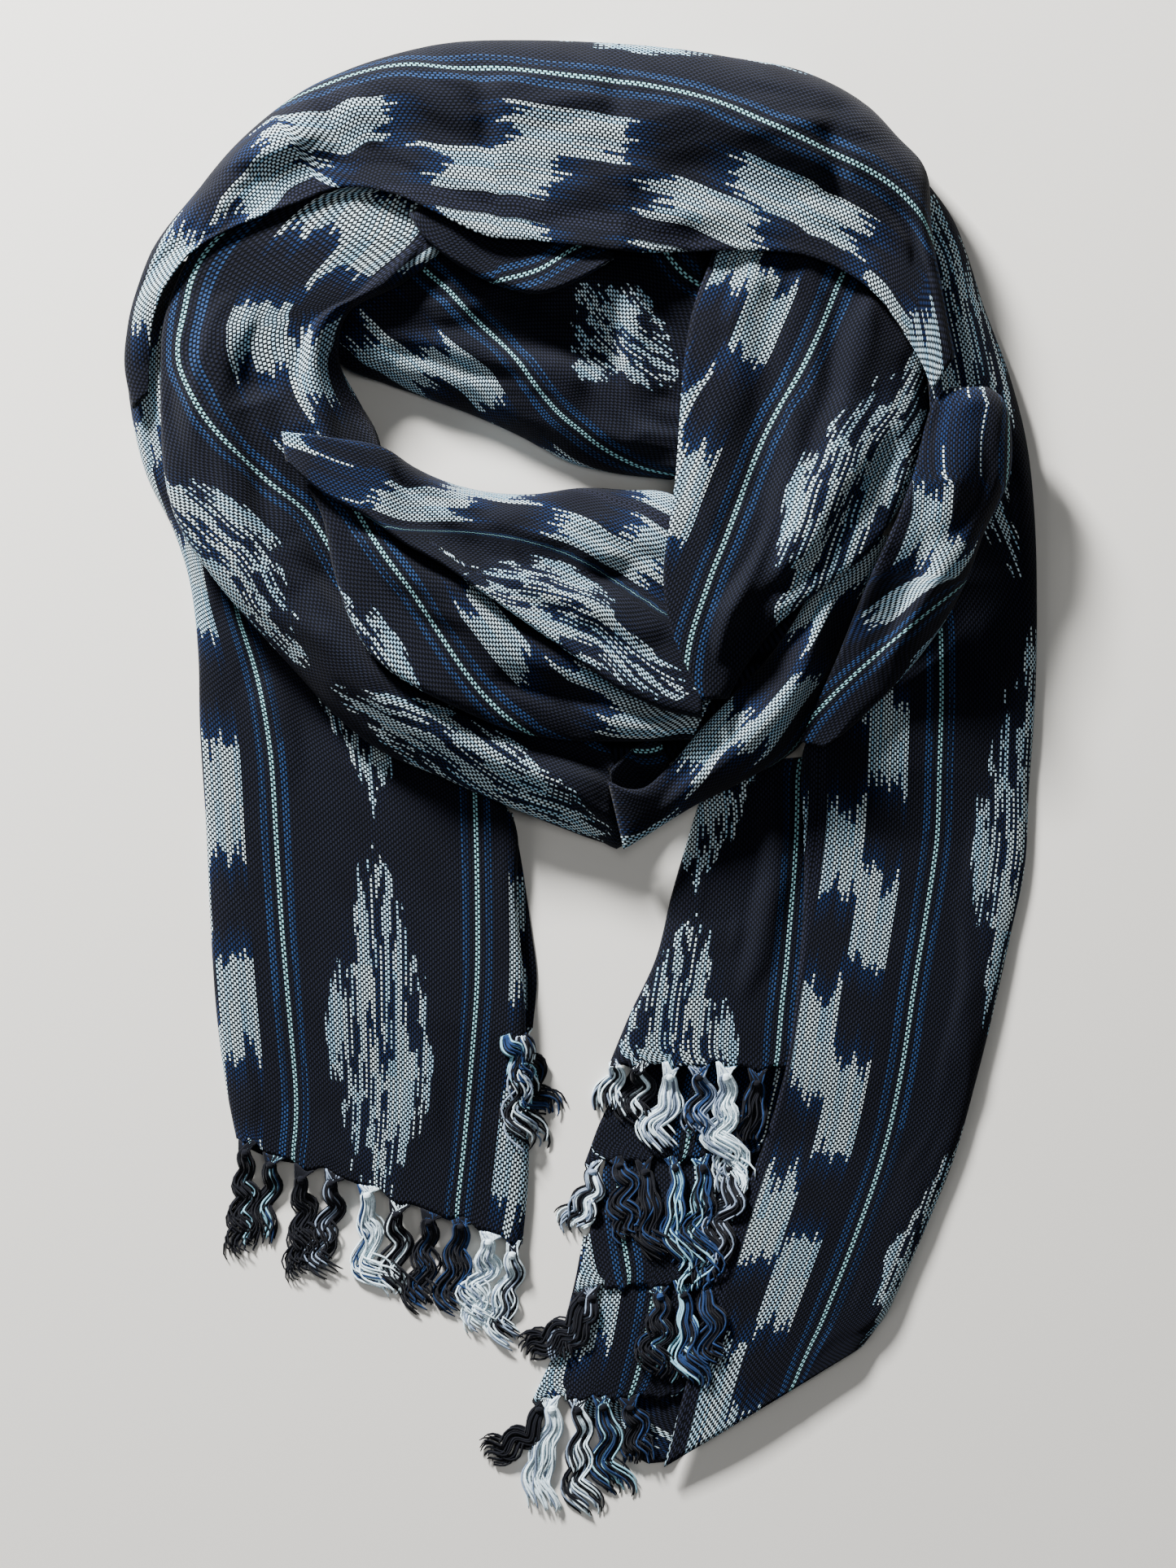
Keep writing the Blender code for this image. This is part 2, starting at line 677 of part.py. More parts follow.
def cloth(name, pile, material, collection):
    """One stretch of the cloth, laid on the pile, with its wall. Returns its points."""
    points, kinds = ribbon(name, pile.grown())
    laid = lay(points, kinds, pile)
    corners = quad_corners(laid.shape).reshape(-1, 4)
    faces = corners[:, ::-1] if facing(laid) > 0 else corners
    piece = put(name, laid.reshape(-1, 3), faces.tolist(), material, collection)
    wall = piece.modifiers.new("wall", "SOLIDIFY")
    wall.thickness = WALL * MM
    wall.offset = -1.0
    wall.use_rim = True
    return laid, kinds


def hidden_core(pile, material, collection):
    """The hidden layers of the loop: a rounded ring with a flat underside, open at the neck loop."""
    table = read_table(CORE_SECTIONS, CORE_STATION, closed=True)
    share, level = np.array(CORE_PROFILE)
    start, end = table[:, None, 0:2], table[:, None, 2:4]
    plan = start + (end - start) * share[None, :, None]
    points = np.dstack([plan, table[:, 4:5] * level[None, :]])
    count, wide = points.shape[:2]
    faces = []
    for i in range(count):
        for j in range(wide):
            here, ahead, beside = i * wide, ((i + 1) % count) * wide, (j + 1) % wide
            faces.append((here + j, here + beside, ahead + beside, ahead + j))
    ring = np.vstack([points, points[:1]])
    corners = quad_corners(ring.shape).reshape(-1, 4)
    pile.add(np.einsum("kc,qcx->qkx", corner_weights(24), ring.reshape(-1, 3)[corners]))
    return put("hidden_core", points.reshape(-1, 3), faces, material, collection)


def strand_path(root, out, tassel, offset):
    """Middle line of one strand: it leaves the hem square to it, turns to the tassel's heading and
    sways from side to side. A strand's offset from the middle of its tassel grows towards the tip."""
    _, heading, length, sway, bends, _ = tassel
    turn = math.radians(heading)
    way = np.array([math.sin(turn), -math.cos(turn)])
    side = np.array([-way[1], way[0]])
    t = np.linspace(0, 1, STRAND_RINGS)[:, None]
    forward = out * 0.6 * (1 - t) + way * (0.4 + 0.6 * t)
    forward = forward / np.linalg.norm(forward, axis=1, keepdims=True) * length / (STRAND_RINGS - 1)
    steps = np.vstack([np.zeros(2), forward[:-1]])
    wave = sway * np.sin(2 * np.pi * bends * t) * t**0.5
    return root + np.cumsum(steps, axis=0) + side * (wave + 0.35 * offset * t)


def between(values, parts):
    """A row of values with parts - 1 more worked out between each two."""
    at = np.linspace(0, len(values) - 1, (len(values) - 1) * parts + 1)
    return np.column_stack([np.interp(at, np.arange(len(values)), column) for column in values.T])


def seat_heights(path, reach, pile):
    """Lowest height at each point of a path that keeps the stretch around it clear of the pile."""
    places = between(path, SEAT_STEPS)
    flat = np.column_stack([places, np.zeros(len(places))])
    found = np.zeros(len(flat))
    offsets = np.linspace(-reach, reach, SEAT_OFFSETS)
    for dx in offsets:
        for dy in offsets:
            found = np.maximum(found, pile.height[pile.cells(flat + np.array([dx, dy, 0]))])
    padded = np.pad(found, SEAT_STEPS, mode="edge")
    windows = [padded[k : k + len(found)] for k in range(2 * SEAT_STEPS + 1)]
    widest = np.max(windows, axis=0)[::SEAT_STEPS]
    return np.where(widest > 0, widest + SEAM, FLOOR_GAP)


def fringe(name, hem, pile, material, collection):
    """A narrow strip just off the hem, with strands drawn out of its outer face.

    The strip is a chain of four-sided rings. Where a strand is rooted, the strip's outer quad is
    left open, and the strand's own rings go on from its four corners to a closed tip.
    """
    run = np.concatenate([[0], np.cumsum(np.linalg.norm(np.diff(hem, axis=0), axis=1))])
    total = run[-1]

    def at(distance):
        return np.array([np.interp(distance, run, column) for column in hem.T])

    def outward_at(distance):
        way = (at(min(distance + 3, total)) - at(max(distance - 3, 0)))[:2]
        out = np.array([way[1], -way[0]]) / np.linalg.norm(way)
        return out if out[1] < 0 else -out

    roots = []
    for tassel in TASSELS[name]:
        strands = tassel[5]
        centre = min(max(tassel[0] * total, 5), total - 5)
        for k in range(strands):
            offset = (k - (strands - 1) / 2) * STRAND_PITCH
            roots.append((centre + offset, offset, tassel))
    roots.sort(key=lambda row: row[0])
    half = STRAND_WIDTH / 2
    stops = [0.4] + [root + way for root, _, _ in roots for way in (-half, half)] + [total - 0.4]
    inner = np.array([at(stop)[:2] + outward_at(stop) * HEM_GAP for stop in stops])
    outer = np.array([at(stop)[:2] + outward_at(stop) * (HEM_GAP + STRIP_WIDTH) for stop in stops])
    hem_top = np.array([at(stop)[2] for stop in stops])
    low = np.maximum(seat_heights(outer, SEAT_REACH, pile), hem_top - STRIP_THICK)
    high = low + STRIP_THICK
    rings = np.stack(
        [
            np.column_stack([inner, high]),
            np.column_stack([outer, high]),
            np.column_stack([outer, low]),
            np.column_stack([inner, low]),
        ],
        axis=1,
    )
    vertices = list(rings.reshape(-1, 3))
    faces = [(0, 1, 2, 3)]
    for ring in range(len(stops) - 1):
        a, b = 4 * ring, 4 * ring + 4
        for k in range(4):
            n = (k + 1) % 4
            if not (ring % 2 == 1 and k == 1):
                faces.append((a + n, a + k, b + k, b + n))
    last = 4 * (len(stops) - 1)
    faces.append((last + 3, last + 2, last + 1, last))
    t = np.linspace(0, 1, STRAND_RINGS)
    widths = np.interp(t, STRAND_PROFILE[0], STRAND_PROFILE[1])
    heights = np.interp(t, STRAND_PROFILE[0], STRAND_PROFILE[2])
    own = Pile()
    own.height = pile.height.copy()
    laid = []
    group = None
    for k, (root_at, offset, tassel) in enumerate(roots):
        if tassel is not group:
            for places in laid:
                own.add(places)
            laid = []
            group = tassel
        root = at(root_at)[:2] + outward_at(root_at) * (HEM_GAP + STRIP_WIDTH)
        path = strand_path(root, outward_at(root_at), tassel, offset)
        floor = seat_heights(path, SEAT_REACH, own)
        root_low = low[2 * k + 1]
        floor = np.maximum(floor, root_low * np.clip(1 - t / DROP_SHARE, 0, 1))
        ahead = np.gradient(path, axis=0)
        ahead = ahead / np.linalg.norm(ahead, axis=1, keepdims=True)
        across = np.column_stack([ahead[:, 1], -ahead[:, 0]])
        along_strip = outer[2 * k + 2] - outer[2 * k + 1]
        if np.dot(across[0], along_strip) < 0:
            across = -across
        a, b = 4 * (2 * k + 1), 4 * (2 * k + 2)
        previous = (a + 1, b + 1, b + 2, a + 2)
        for n in range(1, STRAND_RINGS):
            reach = across[n] * widths[n] / 2
            base = len(vertices)
            for way, level in ((-1, 1), (1, 1), (1, 0), (-1, 0)):
                vertices.append((*(path[n] + way * reach), floor[n] + level * heights[n]))
            ring = (base, base + 1, base + 2, base + 3)
            for c in range(4):
                d = (c + 1) % 4
                faces.append((previous[c], previous[d], ring[d], ring[c]))
            previous = ring
        faces.append(previous)
        crest = between(np.column_stack([path, floor + heights]), SEAT_STEPS)
        for way in np.linspace(-STRAND_WIDTH / 2, STRAND_WIDTH / 2, SEAT_OFFSETS):
            laid.append(crest + np.append(across[1] * way, 0))
    for places in laid:
        own.add(places)
    strip = between(np.column_stack([(inner + outer) / 2, high]), SEAT_STEPS)
    own.add(strip)
    pile.height = own.height
    return put(name, vertices, faces, material, collection)


def recalculate(piece):
    """Turns the faces of a closed piece to look out."""
    mesh = bmesh.new()
    mesh.from_mesh(piece.data)
    bmesh.ops.recalc_face_normals(mesh, faces=mesh.faces)
    mesh.to_mesh(piece.data)
    mesh.free()


def main():
    for existing in list(bpy.data.objects):
        bpy.data.objects.remove(existing, do_unlink=True)
    collection = bpy.data.collections.new("ikat_scarf")
    bpy.context.scene.collection.children.link(collection)
    indigo = cotton("indigo ikat cotton", COTTON_COLOUR)
    yarn = cotton("loose cotton yarn", YARN_COLOUR)
    pile = Pile()
    recalculate(hidden_core(pile, indigo, collection))
    hems = {hem: fringe_name for fringe_name, hem in FRINGE_HEMS.items()}
    for name in STRETCHES:
        laid, kinds = cloth(name, pile, indigo, collection)
        if name in hems:
            hem = laid[0, kinds == "top"]
            recalculate(fringe(hems[name], hem, pile, yarn, collection))


main()
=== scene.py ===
# %% [markdown]
# # An ikat scarf, laid down in a loose loop
# The real thing is one long cotton cloth, about 234 mm wide, woven from yarn that was tied and dyed
# before weaving, with its warp ends knotted into tassels. Here it lies on a table, seen from
# straight above. The model is made of the stretches of that one cloth that show. A scarf like this
# could be dropped by a cloth simulation, but then nobody could say where a fold falls, so each
# stretch is a surface worked out from a short table, and laid on what is already there.

import math

import bmesh
import bpy
import numpy as np
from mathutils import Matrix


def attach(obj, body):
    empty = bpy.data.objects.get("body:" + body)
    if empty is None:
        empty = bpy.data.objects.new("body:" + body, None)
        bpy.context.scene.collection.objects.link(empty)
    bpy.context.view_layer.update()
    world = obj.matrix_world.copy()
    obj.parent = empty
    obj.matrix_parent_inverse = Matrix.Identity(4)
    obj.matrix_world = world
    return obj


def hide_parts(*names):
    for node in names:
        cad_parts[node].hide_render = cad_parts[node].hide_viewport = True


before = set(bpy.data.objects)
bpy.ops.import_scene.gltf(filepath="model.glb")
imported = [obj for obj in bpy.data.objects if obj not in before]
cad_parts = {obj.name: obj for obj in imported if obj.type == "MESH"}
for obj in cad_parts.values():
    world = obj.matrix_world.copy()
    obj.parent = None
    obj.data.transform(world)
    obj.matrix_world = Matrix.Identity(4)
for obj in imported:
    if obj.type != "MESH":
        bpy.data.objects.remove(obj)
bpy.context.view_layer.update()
MM = 0.001
print("nodes:", len(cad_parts))

# %% [markdown]
# ## The stretches of cloth
# A long cloth in a loop shows as a few broad bands, each with its own width and its own edges. A
# folded edge is round, and goes back under itself for a way. A selvage, the woven edge, is thin and
# droops. The table lists them in the order in which they are laid down, because each one rests on
# the ones before it.

# %% Table of the stretches
# name: (left edge, right edge, flap under a folded edge in mm, and how high the left rim and the
# right rim are, as shares of the crown)
STRETCHES = {
    "bottom_fold": ("selvage", "selvage", 0, 0.0, 0.0),
    "lower_end": ("selvage", "selvage", 0, 0.0, 0.0),
    "third_end": ("selvage", "selvage", 0, 0.0, 0.0),
    "middle_end": ("selvage", "selvage", 0, 0.0, 0.0),
    "upper_end": ("fold", "selvage", 22, 1.0, 0.6),
    "left_under_edge": ("selvage", "selvage", 0, 0.0, 0.0),
    "left_tail": ("fold", "fold", 34, 1.0, 1.0),
    "back_band": ("fold", "selvage", 7, 1.0, 0.9),
    "left_band": ("fold", "fold", 10, 1.0, 1.0),
    "crossing_band": ("fold", "fold", 7, 1.0, 1.0),
    "front_band": ("selvage", "fold", 8, 0.9, 1.0),
    "front_roll": ("fold", "fold", 8, 1.0, 1.0),
    "inner_curl": ("fold", "selvage", 6, 1.0, 0.9),
    "inner_band": ("selvage", "fold", 9, 0.72, 1.0),
    "right_tail": ("selvage", "fold", 42, 0.35, 1.0),
    "right_fold": ("selvage", "fold", 8, 0.7, 1.0),
    "outer_arc": ("selvage", "fold", 10, 0.72, 1.0),
}
print("stretches:", len(STRETCHES))

# %% [markdown]
# ## Where each stretch lies
# A band on a table can be drawn as a row of sections across it. Each row below is one section: the
# place of its left edge, the place of its right edge, and the height of its crown, all in
# millimetres from the middle of the laid scarf. Left and right are as seen by someone walking along
# the band. This is quicker to read off a photograph, and to mend, than a mesh.

# %% Table of the sections
SECTIONS = {
    "bottom_fold": (
        (33, -339, 47, -337, 3), (19, -331, 55, -326, 3), (6, -320, 63, -310, 3),
        (-6, -307, 70, -292, 3), (-6, -278, 76, -276, 3), (0, -246, 82, -246, 3),
    ),
    "lower_end": (
        (-24, -307, 50, -305, 4), (-12, -280, 62, -278, 4), (-4, -252, 68, -252, 4),
        (1, -226, 74, -226, 4),
    ),
    "third_end": (
        (-3, -252, 67, -249, 3), (3, -228, 76, -226, 3), (9, -202, 85, -202, 3),
        (16, -172, 92, -170, 3),
    ),
    "middle_end": (
        (2, -189, 89, -186, 3), (12, -164, 99, -162, 3), (30, -136, 109, -136, 3),
        (46, -108, 113, -108, 3),
    ),
    "upper_end": (
        (14, -140, 110, -143, 7), (24, -116, 118, -116, 7), (37, -88, 120, -88, 7),
        (45, -56, 122, -60, 7), (52, -32, 122, -32, 7), (59, -10, 118, -6, 7), (68, 8, 114, 12, 6),
    ),
    "left_under_edge": (
        (-58, -121, -24, -123, 3), (-58, -96, -22, -98, 3), (-58, -68, -25, -72, 3),
        (-58, -40, -29, -44, 3), (-62, -16, -34, -16, 3),
    ),
    "left_tail": (
        (-171, -178, -29, -230, 6), (-176, -152, -26, -191, 7), (-181, -114, -27, -145, 7),
        (-184, -68, -28, -104, 7), (-186, -22, -32, -60, 7), (-189, 24, -35, -16, 7),
        (-190, 64, -78, 22, 8), (-194, 98, -126, 62, 8), (-203, 126, -161, 99, 9),
        (-215, 150, -178, 136, 11), (-222, 176, -187, 172, 12), (-225, 203, -188, 206, 12),
        (-222, 230, -183, 234, 12), (-212, 256, -172, 256, 11),
    ),
    "right_tail": (
        (150, 282, 169, 300, 13), (154, 260, 186, 275, 15), (163, 228, 200, 234, 17),
        (170, 196, 212, 202, 17), (170, 160, 221, 167, 16), (158, 124, 225, 128, 14),
        (142, 84, 226, 82, 11), (126, 48, 225, 38, 9), (109, 14, 222, -4, 8),
        (110, -24, 220, -42, 8), (110, -60, 213, -76, 8), (107, -98, 205, -112, 8),
        (102, -138, 196, -148, 8), (91, -178, 185, -187, 8), (76, -216, 170, -224, 8),
        (63, -258, 154, -260, 8), (52, -298, 146, -272, 7), (41, -340, 140, -280, 6),
    ),
    "back_band": (
        (-128, 224, -86, 268, 20), (-118, 205, -62, 264, 24), (-98, 197, -38, 264, 27),
        (-78, 190, -8, 272, 28), (-56, 182, 22, 278, 28), (-33, 172, 54, 268, 28),
        (-18, 164, 62, 224, 27), (-4, 157, 70, 204, 26), (18, 152, 74, 184, 26),
        (44, 149, 78, 160, 26),
    ),
    "left_band": (
        (-150, 306, -76, 304, 22), (-176, 284, -64, 287, 26), (-194, 254, -66, 263, 29),
        (-204, 227, -86, 244, 32), (-206, 204, -113, 230, 34), (-206, 176, -119, 208, 35),
        (-204, 148, -110, 188, 36), (-197, 124, -101, 172, 36), (-181, 100, -96, 154, 36),
        (-161, 76, -90, 128, 34), (-141, 54, -80, 104, 32), (-121, 32, -68, 80, 31),
        (-98, 14, -52, 60, 30), (-70, 2, -36, 44, 28), (-38, -12, -20, 32, 27),
        (-6, -25, 0, 26, 26), (11, -31, 16, 12, 23), (20, -33, 14, 6, 17), (37, -14, 26, 16, 13),
        (48, -4, 38, 22, 12),
    ),
    "front_band": (
        (-110, 150, -134, 144, 30), (-98, 144, -126, 128, 33), (-86, 136, -121, 104, 36),
        (-70, 128, -113, 80, 37), (-52, 122, -101, 60, 37), (-34, 115, -82, 46, 37),
        (-14, 104, -60, 35, 36), (6, 92, -36, 25, 35), (26, 76, -10, 20, 33), (46, 60, 22, 19, 31),
        (66, 44, 54, 20, 29),
    ),
    "front_roll": (
        (-146, 170, -144, 156, 30), (-122, 167, -126, 140, 34), (-98, 163, -104, 128, 38),
        (-82, 154, -86, 115, 40), (-67, 148, -68, 105, 40), (-46, 143, -46, 90, 40),
        (-24, 142, -26, 76, 40), (-1, 145, -6, 62, 39), (22, 144, 16, 46, 37),
        (45, 141, 38, 35, 35), (62, 124, 59, 30, 32),
    ),
    "inner_curl": (
        (-84, 276, -78, 281, 29), (-76, 264, -68, 279, 30), (-61, 252, -56, 276, 31),
        (-42, 242, -38, 272, 32), (-20, 237, -20, 270, 32), (0, 244, -2, 270, 31),
        (16, 254, 14, 270, 30),
    ),
    "crossing_band": (
        (13, 0, 21, -34, 17), (22, -4, 31, -28, 22), (32, -3, 42, -21, 24), (44, 8, 57, -12, 28),
        (59, 26, 81, 0, 32), (74, 42, 107, 16, 35), (90, 58, 118, 36, 36), (104, 78, 128, 64, 36),
        (116, 100, 140, 92, 36), (130, 118, 154, 120, 35),
    ),
    "inner_band": (
        (68, 270, 148, 248, 33), (63, 254, 162, 224, 36), (54, 228, 174, 196, 40),
        (50, 202, 178, 176, 43), (48, 176, 170, 156, 44), (46, 148, 156, 134, 44),
        (43, 124, 140, 111, 43), (40, 100, 120, 95, 41), (43, 76, 96, 76, 38), (51, 56, 80, 55, 34),
        (59, 39, 72, 40, 30),
    ),
    "right_fold": (
        (180, 192, 199, 193, 33), (172, 185, 207, 187, 39), (167, 170, 211, 172, 42),
        (162, 150, 210, 148, 44), (154, 128, 198, 122, 45), (143, 104, 190, 100, 44),
        (134, 82, 180, 80, 41), (126, 62, 164, 58, 37), (118, 44, 146, 39, 31),
        (112, 30, 130, 24, 25), (107, 19, 118, 16, 20),
    ),
    "outer_arc": (
        (-213, 190, -221, 183, 14), (-212, 206, -225, 203, 16), (-210, 225, -224, 221, 19),
        (-202, 244, -220, 239, 22), (-188, 260, -210, 264, 28), (-166, 272, -193, 288, 32),
        (-140, 282, -170, 316, 35), (-116, 290, -142, 339, 37), (-92, 286, -116, 352, 38),
        (-70, 276, -88, 361, 39), (-46, 265, -62, 366, 40), (-24, 263, -30, 367, 40),
        (0, 260, 6, 366, 40), (26, 257, 40, 363, 40), (54, 258, 74, 358, 41),
        (82, 258, 108, 352, 42), (108, 256, 138, 337, 42), (128, 248, 156, 318, 42),
        (144, 236, 170, 299, 41), (156, 220, 172, 268, 40), (166, 203, 178, 232, 38),
        (171, 190, 183, 208, 34),
    ),
}
print("sections:", sum(len(rows) for rows in SECTIONS.values()))

# %% Table of the hidden layers
# inner edge x, y, outer edge x, y, height. The ring closes on itself.
CORE_SECTIONS = (
    (-126, 196, -197, 192, 20), (-114, 166, -190, 144, 20), (-101, 144, -154, 96, 20),
    (-72, 130, -105, 46, 20), (-36, 127, -52, 18, 20), (2, 128, 8, -6, 18), (34, 128, 54, 14, 18),
    (58, 128, 98, 38, 20), (66, 140, 138, 104, 22), (68, 160, 158, 160, 22),
    (66, 184, 158, 216, 22), (54, 208, 143, 276, 22), (30, 216, 110, 324, 22),
    (-6, 216, 58, 347, 22), (-42, 224, -6, 350, 22), (-74, 230, -70, 347, 22),
    (-102, 236, -126, 324, 22), (-126, 226, -172, 284, 20),
)
print("sections of the hidden layers:", len(CORE_SECTIONS))

# %% [markdown]
# ## Folds and creases
# Cloth that turns a corner has no room for its inner edge, so it gathers into troughs and ridges.
# They could be painted on as a bump, but then no light would fall into them. Each row here is one
# crease: it runs between two shares of the band's length, wanders from one share of its
# width to another, and has its own depth and half-width. No two are alike, as on the real cloth.

# %% Table of the creases
# from, to, across at from, across at to, depth in mm (a trough is negative), half-width in mm
DEEPER = 1.7       # how much the soft thin cloth bends past the depths in the table
CREASES = {
    "outer_arc": (
        (0.18, 0.52, 0.55, 0.3, -4.0, 14), (0.45, 0.85, 0.6, 0.7, 3.0, 16),
        (0.6, 0.98, 0.3, 0.45, -4.0, 13), (0.05, 0.3, 0.3, 0.62, 2.4, 9),
        (0.3, 0.47, 0.2, 0.12, -1.8, 5), (0.52, 0.66, 0.36, 0.22, -1.6, 5),
        (0.66, 0.9, 0.62, 0.4, 2.2, 6), (0.74, 0.99, 0.16, 0.3, -2.4, 5),
        (0.8, 1.0, 0.55, 0.6, -3.0, 6), (0.02, 0.2, 0.7, 0.5, -2.0, 6),
        (0.335, 0.33, 0.98, 0.3, -2.8, 7), (0.352, 0.362, 0.95, 0.35, 1.6, 5),
        (0.46, 0.47, 0.98, 0.35, -2.2, 6), (0.575, 0.585, 0.95, 0.5, -1.8, 6),
        (0.76, 0.8, 0.9, 0.3, -2.4, 7), (0.25, 0.23, 0.8, 0.2, -1.8, 6),
    ),
    "left_band": (
        (0.05, 0.3, 0.62, 0.55, -7.0, 12), (0.15, 0.5, 0.3, 0.35, 4.0, 14),
        (0.25, 0.62, 0.62, 0.6, -6.0, 12), (0.45, 0.9, 0.35, 0.4, 5.0, 16),
        (0.1, 0.34, 0.8, 0.74, -4.0, 5), (0.2, 0.42, 0.88, 0.8, 3.0, 5),
        (0.3, 0.55, 0.46, 0.3, -2.6, 6), (0.55, 0.95, 0.66, 0.72, -3.0, 7),
        (0.6, 0.98, 0.16, 0.22, -2.0, 5), (0.4, 0.62, 0.86, 0.92, -3.5, 5),
    ),
    "front_band": (
        (0.1, 0.8, 0.55, 0.45, 4.0, 13), (0.3, 0.95, 0.2, 0.25, -5.0, 9),
        (0.05, 0.45, 0.34, 0.16, -2.0, 4), (0.55, 0.98, 0.7, 0.6, -2.4, 5),
    ),
    "front_roll": (
        (0.05, 0.55, 0.62, 0.55, -6.0, 9), (0.4, 0.95, 0.45, 0.5, -5.0, 11),
        (0.15, 0.5, 0.36, 0.3, -2.4, 5), (0.45, 0.9, 0.74, 0.66, 3.0, 7),
        (0.55, 0.98, 0.24, 0.34, -2.0, 4), (0.03, 0.13, 0.35, 0.98, -8.0, 7),
    ),
    "back_band": (
        (0.1, 0.85, 0.4, 0.35, -5.0, 12), (0.25, 0.8, 0.7, 0.62, 4.0, 12),
        (0.02, 0.55, 0.22, 0.16, -2.6, 5), (0.3, 0.95, 0.54, 0.44, -3.0, 6),
    ),
    "inner_band": (
        (0.1, 0.8, 0.3, 0.35, -6.0, 13), (0.3, 0.95, 0.65, 0.62, 4.0, 13),
        (0.08, 0.5, 0.6, 0.52, -2.6, 6), (0.35, 0.95, 0.84, 0.8, -3.4, 6),
        (0.45, 0.98, 0.46, 0.52, 2.6, 5), (0.02, 0.24, 0.2, 0.16, 2.0, 6),
    ),
    "crossing_band": (
        (0.3, 0.9, 0.5, 0.55, 3.0, 9), (0.05, 0.6, 0.28, 0.4, -2.4, 5),
        (0.4, 0.98, 0.76, 0.66, -2.6, 4),
    ),
    "right_fold": (
        (0.25, 0.95, 0.35, 0.4, -5.0, 8), (0.05, 0.5, 0.66, 0.72, -2.6, 6),
        (0.4, 0.98, 0.62, 0.55, 2.4, 5),
    ),
    "right_tail": (
        (0.3, 0.85, 0.5, 0.45, -2.5, 22), (0.02, 0.3, 0.5, 0.5, 3.0, 14),
        (0.05, 0.26, 0.3, 0.24, -2.6, 6), (0.12, 0.4, 0.74, 0.84, -2.0, 7),
        (0.36, 0.6, 0.82, 0.74, 1.4, 8), (0.52, 0.8, 0.24, 0.34, 1.2, 9),
        (0.7, 0.99, 0.62, 0.52, -1.6, 8), (0.44, 0.58, 0.12, 0.4, -1.0, 6),
    ),
    "left_tail": (
        (0.02, 0.6, 0.45, 0.5, -3.0, 24), (0.35, 0.75, 0.25, 0.3, 2.0, 14),
        (0.05, 0.42, 0.7, 0.62, 1.4, 9), (0.3, 0.62, 0.86, 0.7, -1.6, 7),
        (0.48, 0.66, 0.2, 0.52, -1.8, 6), (0.1, 0.3, 0.3, 0.22, -1.0, 7),
    ),
    "upper_end": (
        (0.05, 0.9, 0.3, 0.36, -2.4, 7), (0.2, 0.98, 0.6, 0.66, 2.2, 7),
        (0.3, 0.95, 0.48, 0.5, -1.8, 5),
    ),
    "lower_end": (
        (0.05, 0.95, 0.32, 0.38, 1.2, 9), (0.05, 0.95, 0.66, 0.6, -1.0, 7),
    ),
    "middle_end": (
        (0.05, 0.95, 0.4, 0.46, 1.0, 8),
    ),
}
print("creases:", sum(len(rows) for rows in CREASES.values()))

# %% [markdown]
# ## Reading a table smoothly
# The rows are a hand's breadth apart, and the cloth between them is smooth. A Bezier curve would
# do, but a Catmull-Rom curve passes through every row, so the table says exactly what the cloth
# does.

# %% Read a table at even steps
GRID = 2.4         # mm between the points of a stretch
FINE = 16          # steps from one row of a table to the next


def read_table(rows, spacing, closed=False):
    """Rows read at even steps of length on a curve that leaves each row b along the line from the
    row before it to the row after it: half of 2b + (c - a)t + (2a - 5b + 4c - d)t^2 + (3b - a - 3c
    + d)t^3."""
    rows = np.array(rows, float)
    if closed:
        padded = np.vstack([rows[-1:], rows, rows[:2]])
    else:
        padded = np.vstack([2 * rows[0] - rows[1], rows, 2 * rows[-1] - rows[-2]])
    t = np.linspace(0, 1, FINE, endpoint=False)[:, None, None]
    a, b, c, d = padded[:-3], padded[1:-2], padded[2:-1], padded[3:]
    square, cube = 2 * a - 5 * b + 4 * c - d, 3 * b - a - 3 * c + d
    spans = 0.5 * (2 * b + (c - a) * t + square * t**2 + cube * t**3)
    dense = np.vstack([spans.transpose(1, 0, 2).reshape(-1, rows.shape[1]), padded[-2:-1]])
    middle = (dense[:, 0:2] + dense[:, 2:4]) / 2 if rows.shape[1] > 3 else dense[:, 0:2]
    run = np.concatenate([[0], np.cumsum(np.linalg.norm(np.diff(middle, axis=0), axis=1))])
    at = np.linspace(0, run[-1], max(3, round(run[-1] / spacing) + 1))
    read = np.column_stack([np.interp(at, run, column) for column in dense.T])
    return (read[:-1], at[:-1]) if closed else (read, at)


for name in ("outer_arc", "right_tail"):
    print(name, "is", round(read_table(SECTIONS[name], GRID)[1][-1]), "mm long")

# %% [markdown]
# ## The pile
# A real scarf's layers stop each other. A physics engine finds that by collision. A height map
# finds it faster: it is a grid of cells on the table, each of which remembers the highest cloth
# laid over it. A new stretch asks it how high it has to be, and is then added to it.

# %% The height map of everything laid so far
CELL = 2.0          # mm
HALF_X = 240.0      # mm
HALF_Y = 390.0      # mm
SEAM = 0.3          # mm of air between two layers
pile = np.zeros((int(2 * HALF_X / CELL), int(2 * HALF_Y / CELL)))


def cells(places):
    """Column and row of the cell that each place is in."""
    x = np.clip(((places[..., 0] + HALF_X) / CELL).astype(int), 0, pile.shape[0] - 1)
    y = np.clip(((places[..., 1] + HALF_Y) / CELL).astype(int), 0, pile.shape[1] - 1)
    return x, y


def midway(points, axis):
    """The grid with a point half way between each two along one axis."""
    points = np.moveaxis(points, axis, 0)
    finer = np.empty((2 * len(points) - 1, *points.shape[1:]))
    finer[::2] = points
    finer[1::2] = (points[1:] + points[:-1]) / 2
    return np.moveaxis(finer, 0, axis)


def add_to_pile(points):
    """Raises each cell to the highest of the points that lie in it."""
    places = midway(midway(points, 0), 1)
    np.maximum.at(pile, cells(places), places[..., 2])


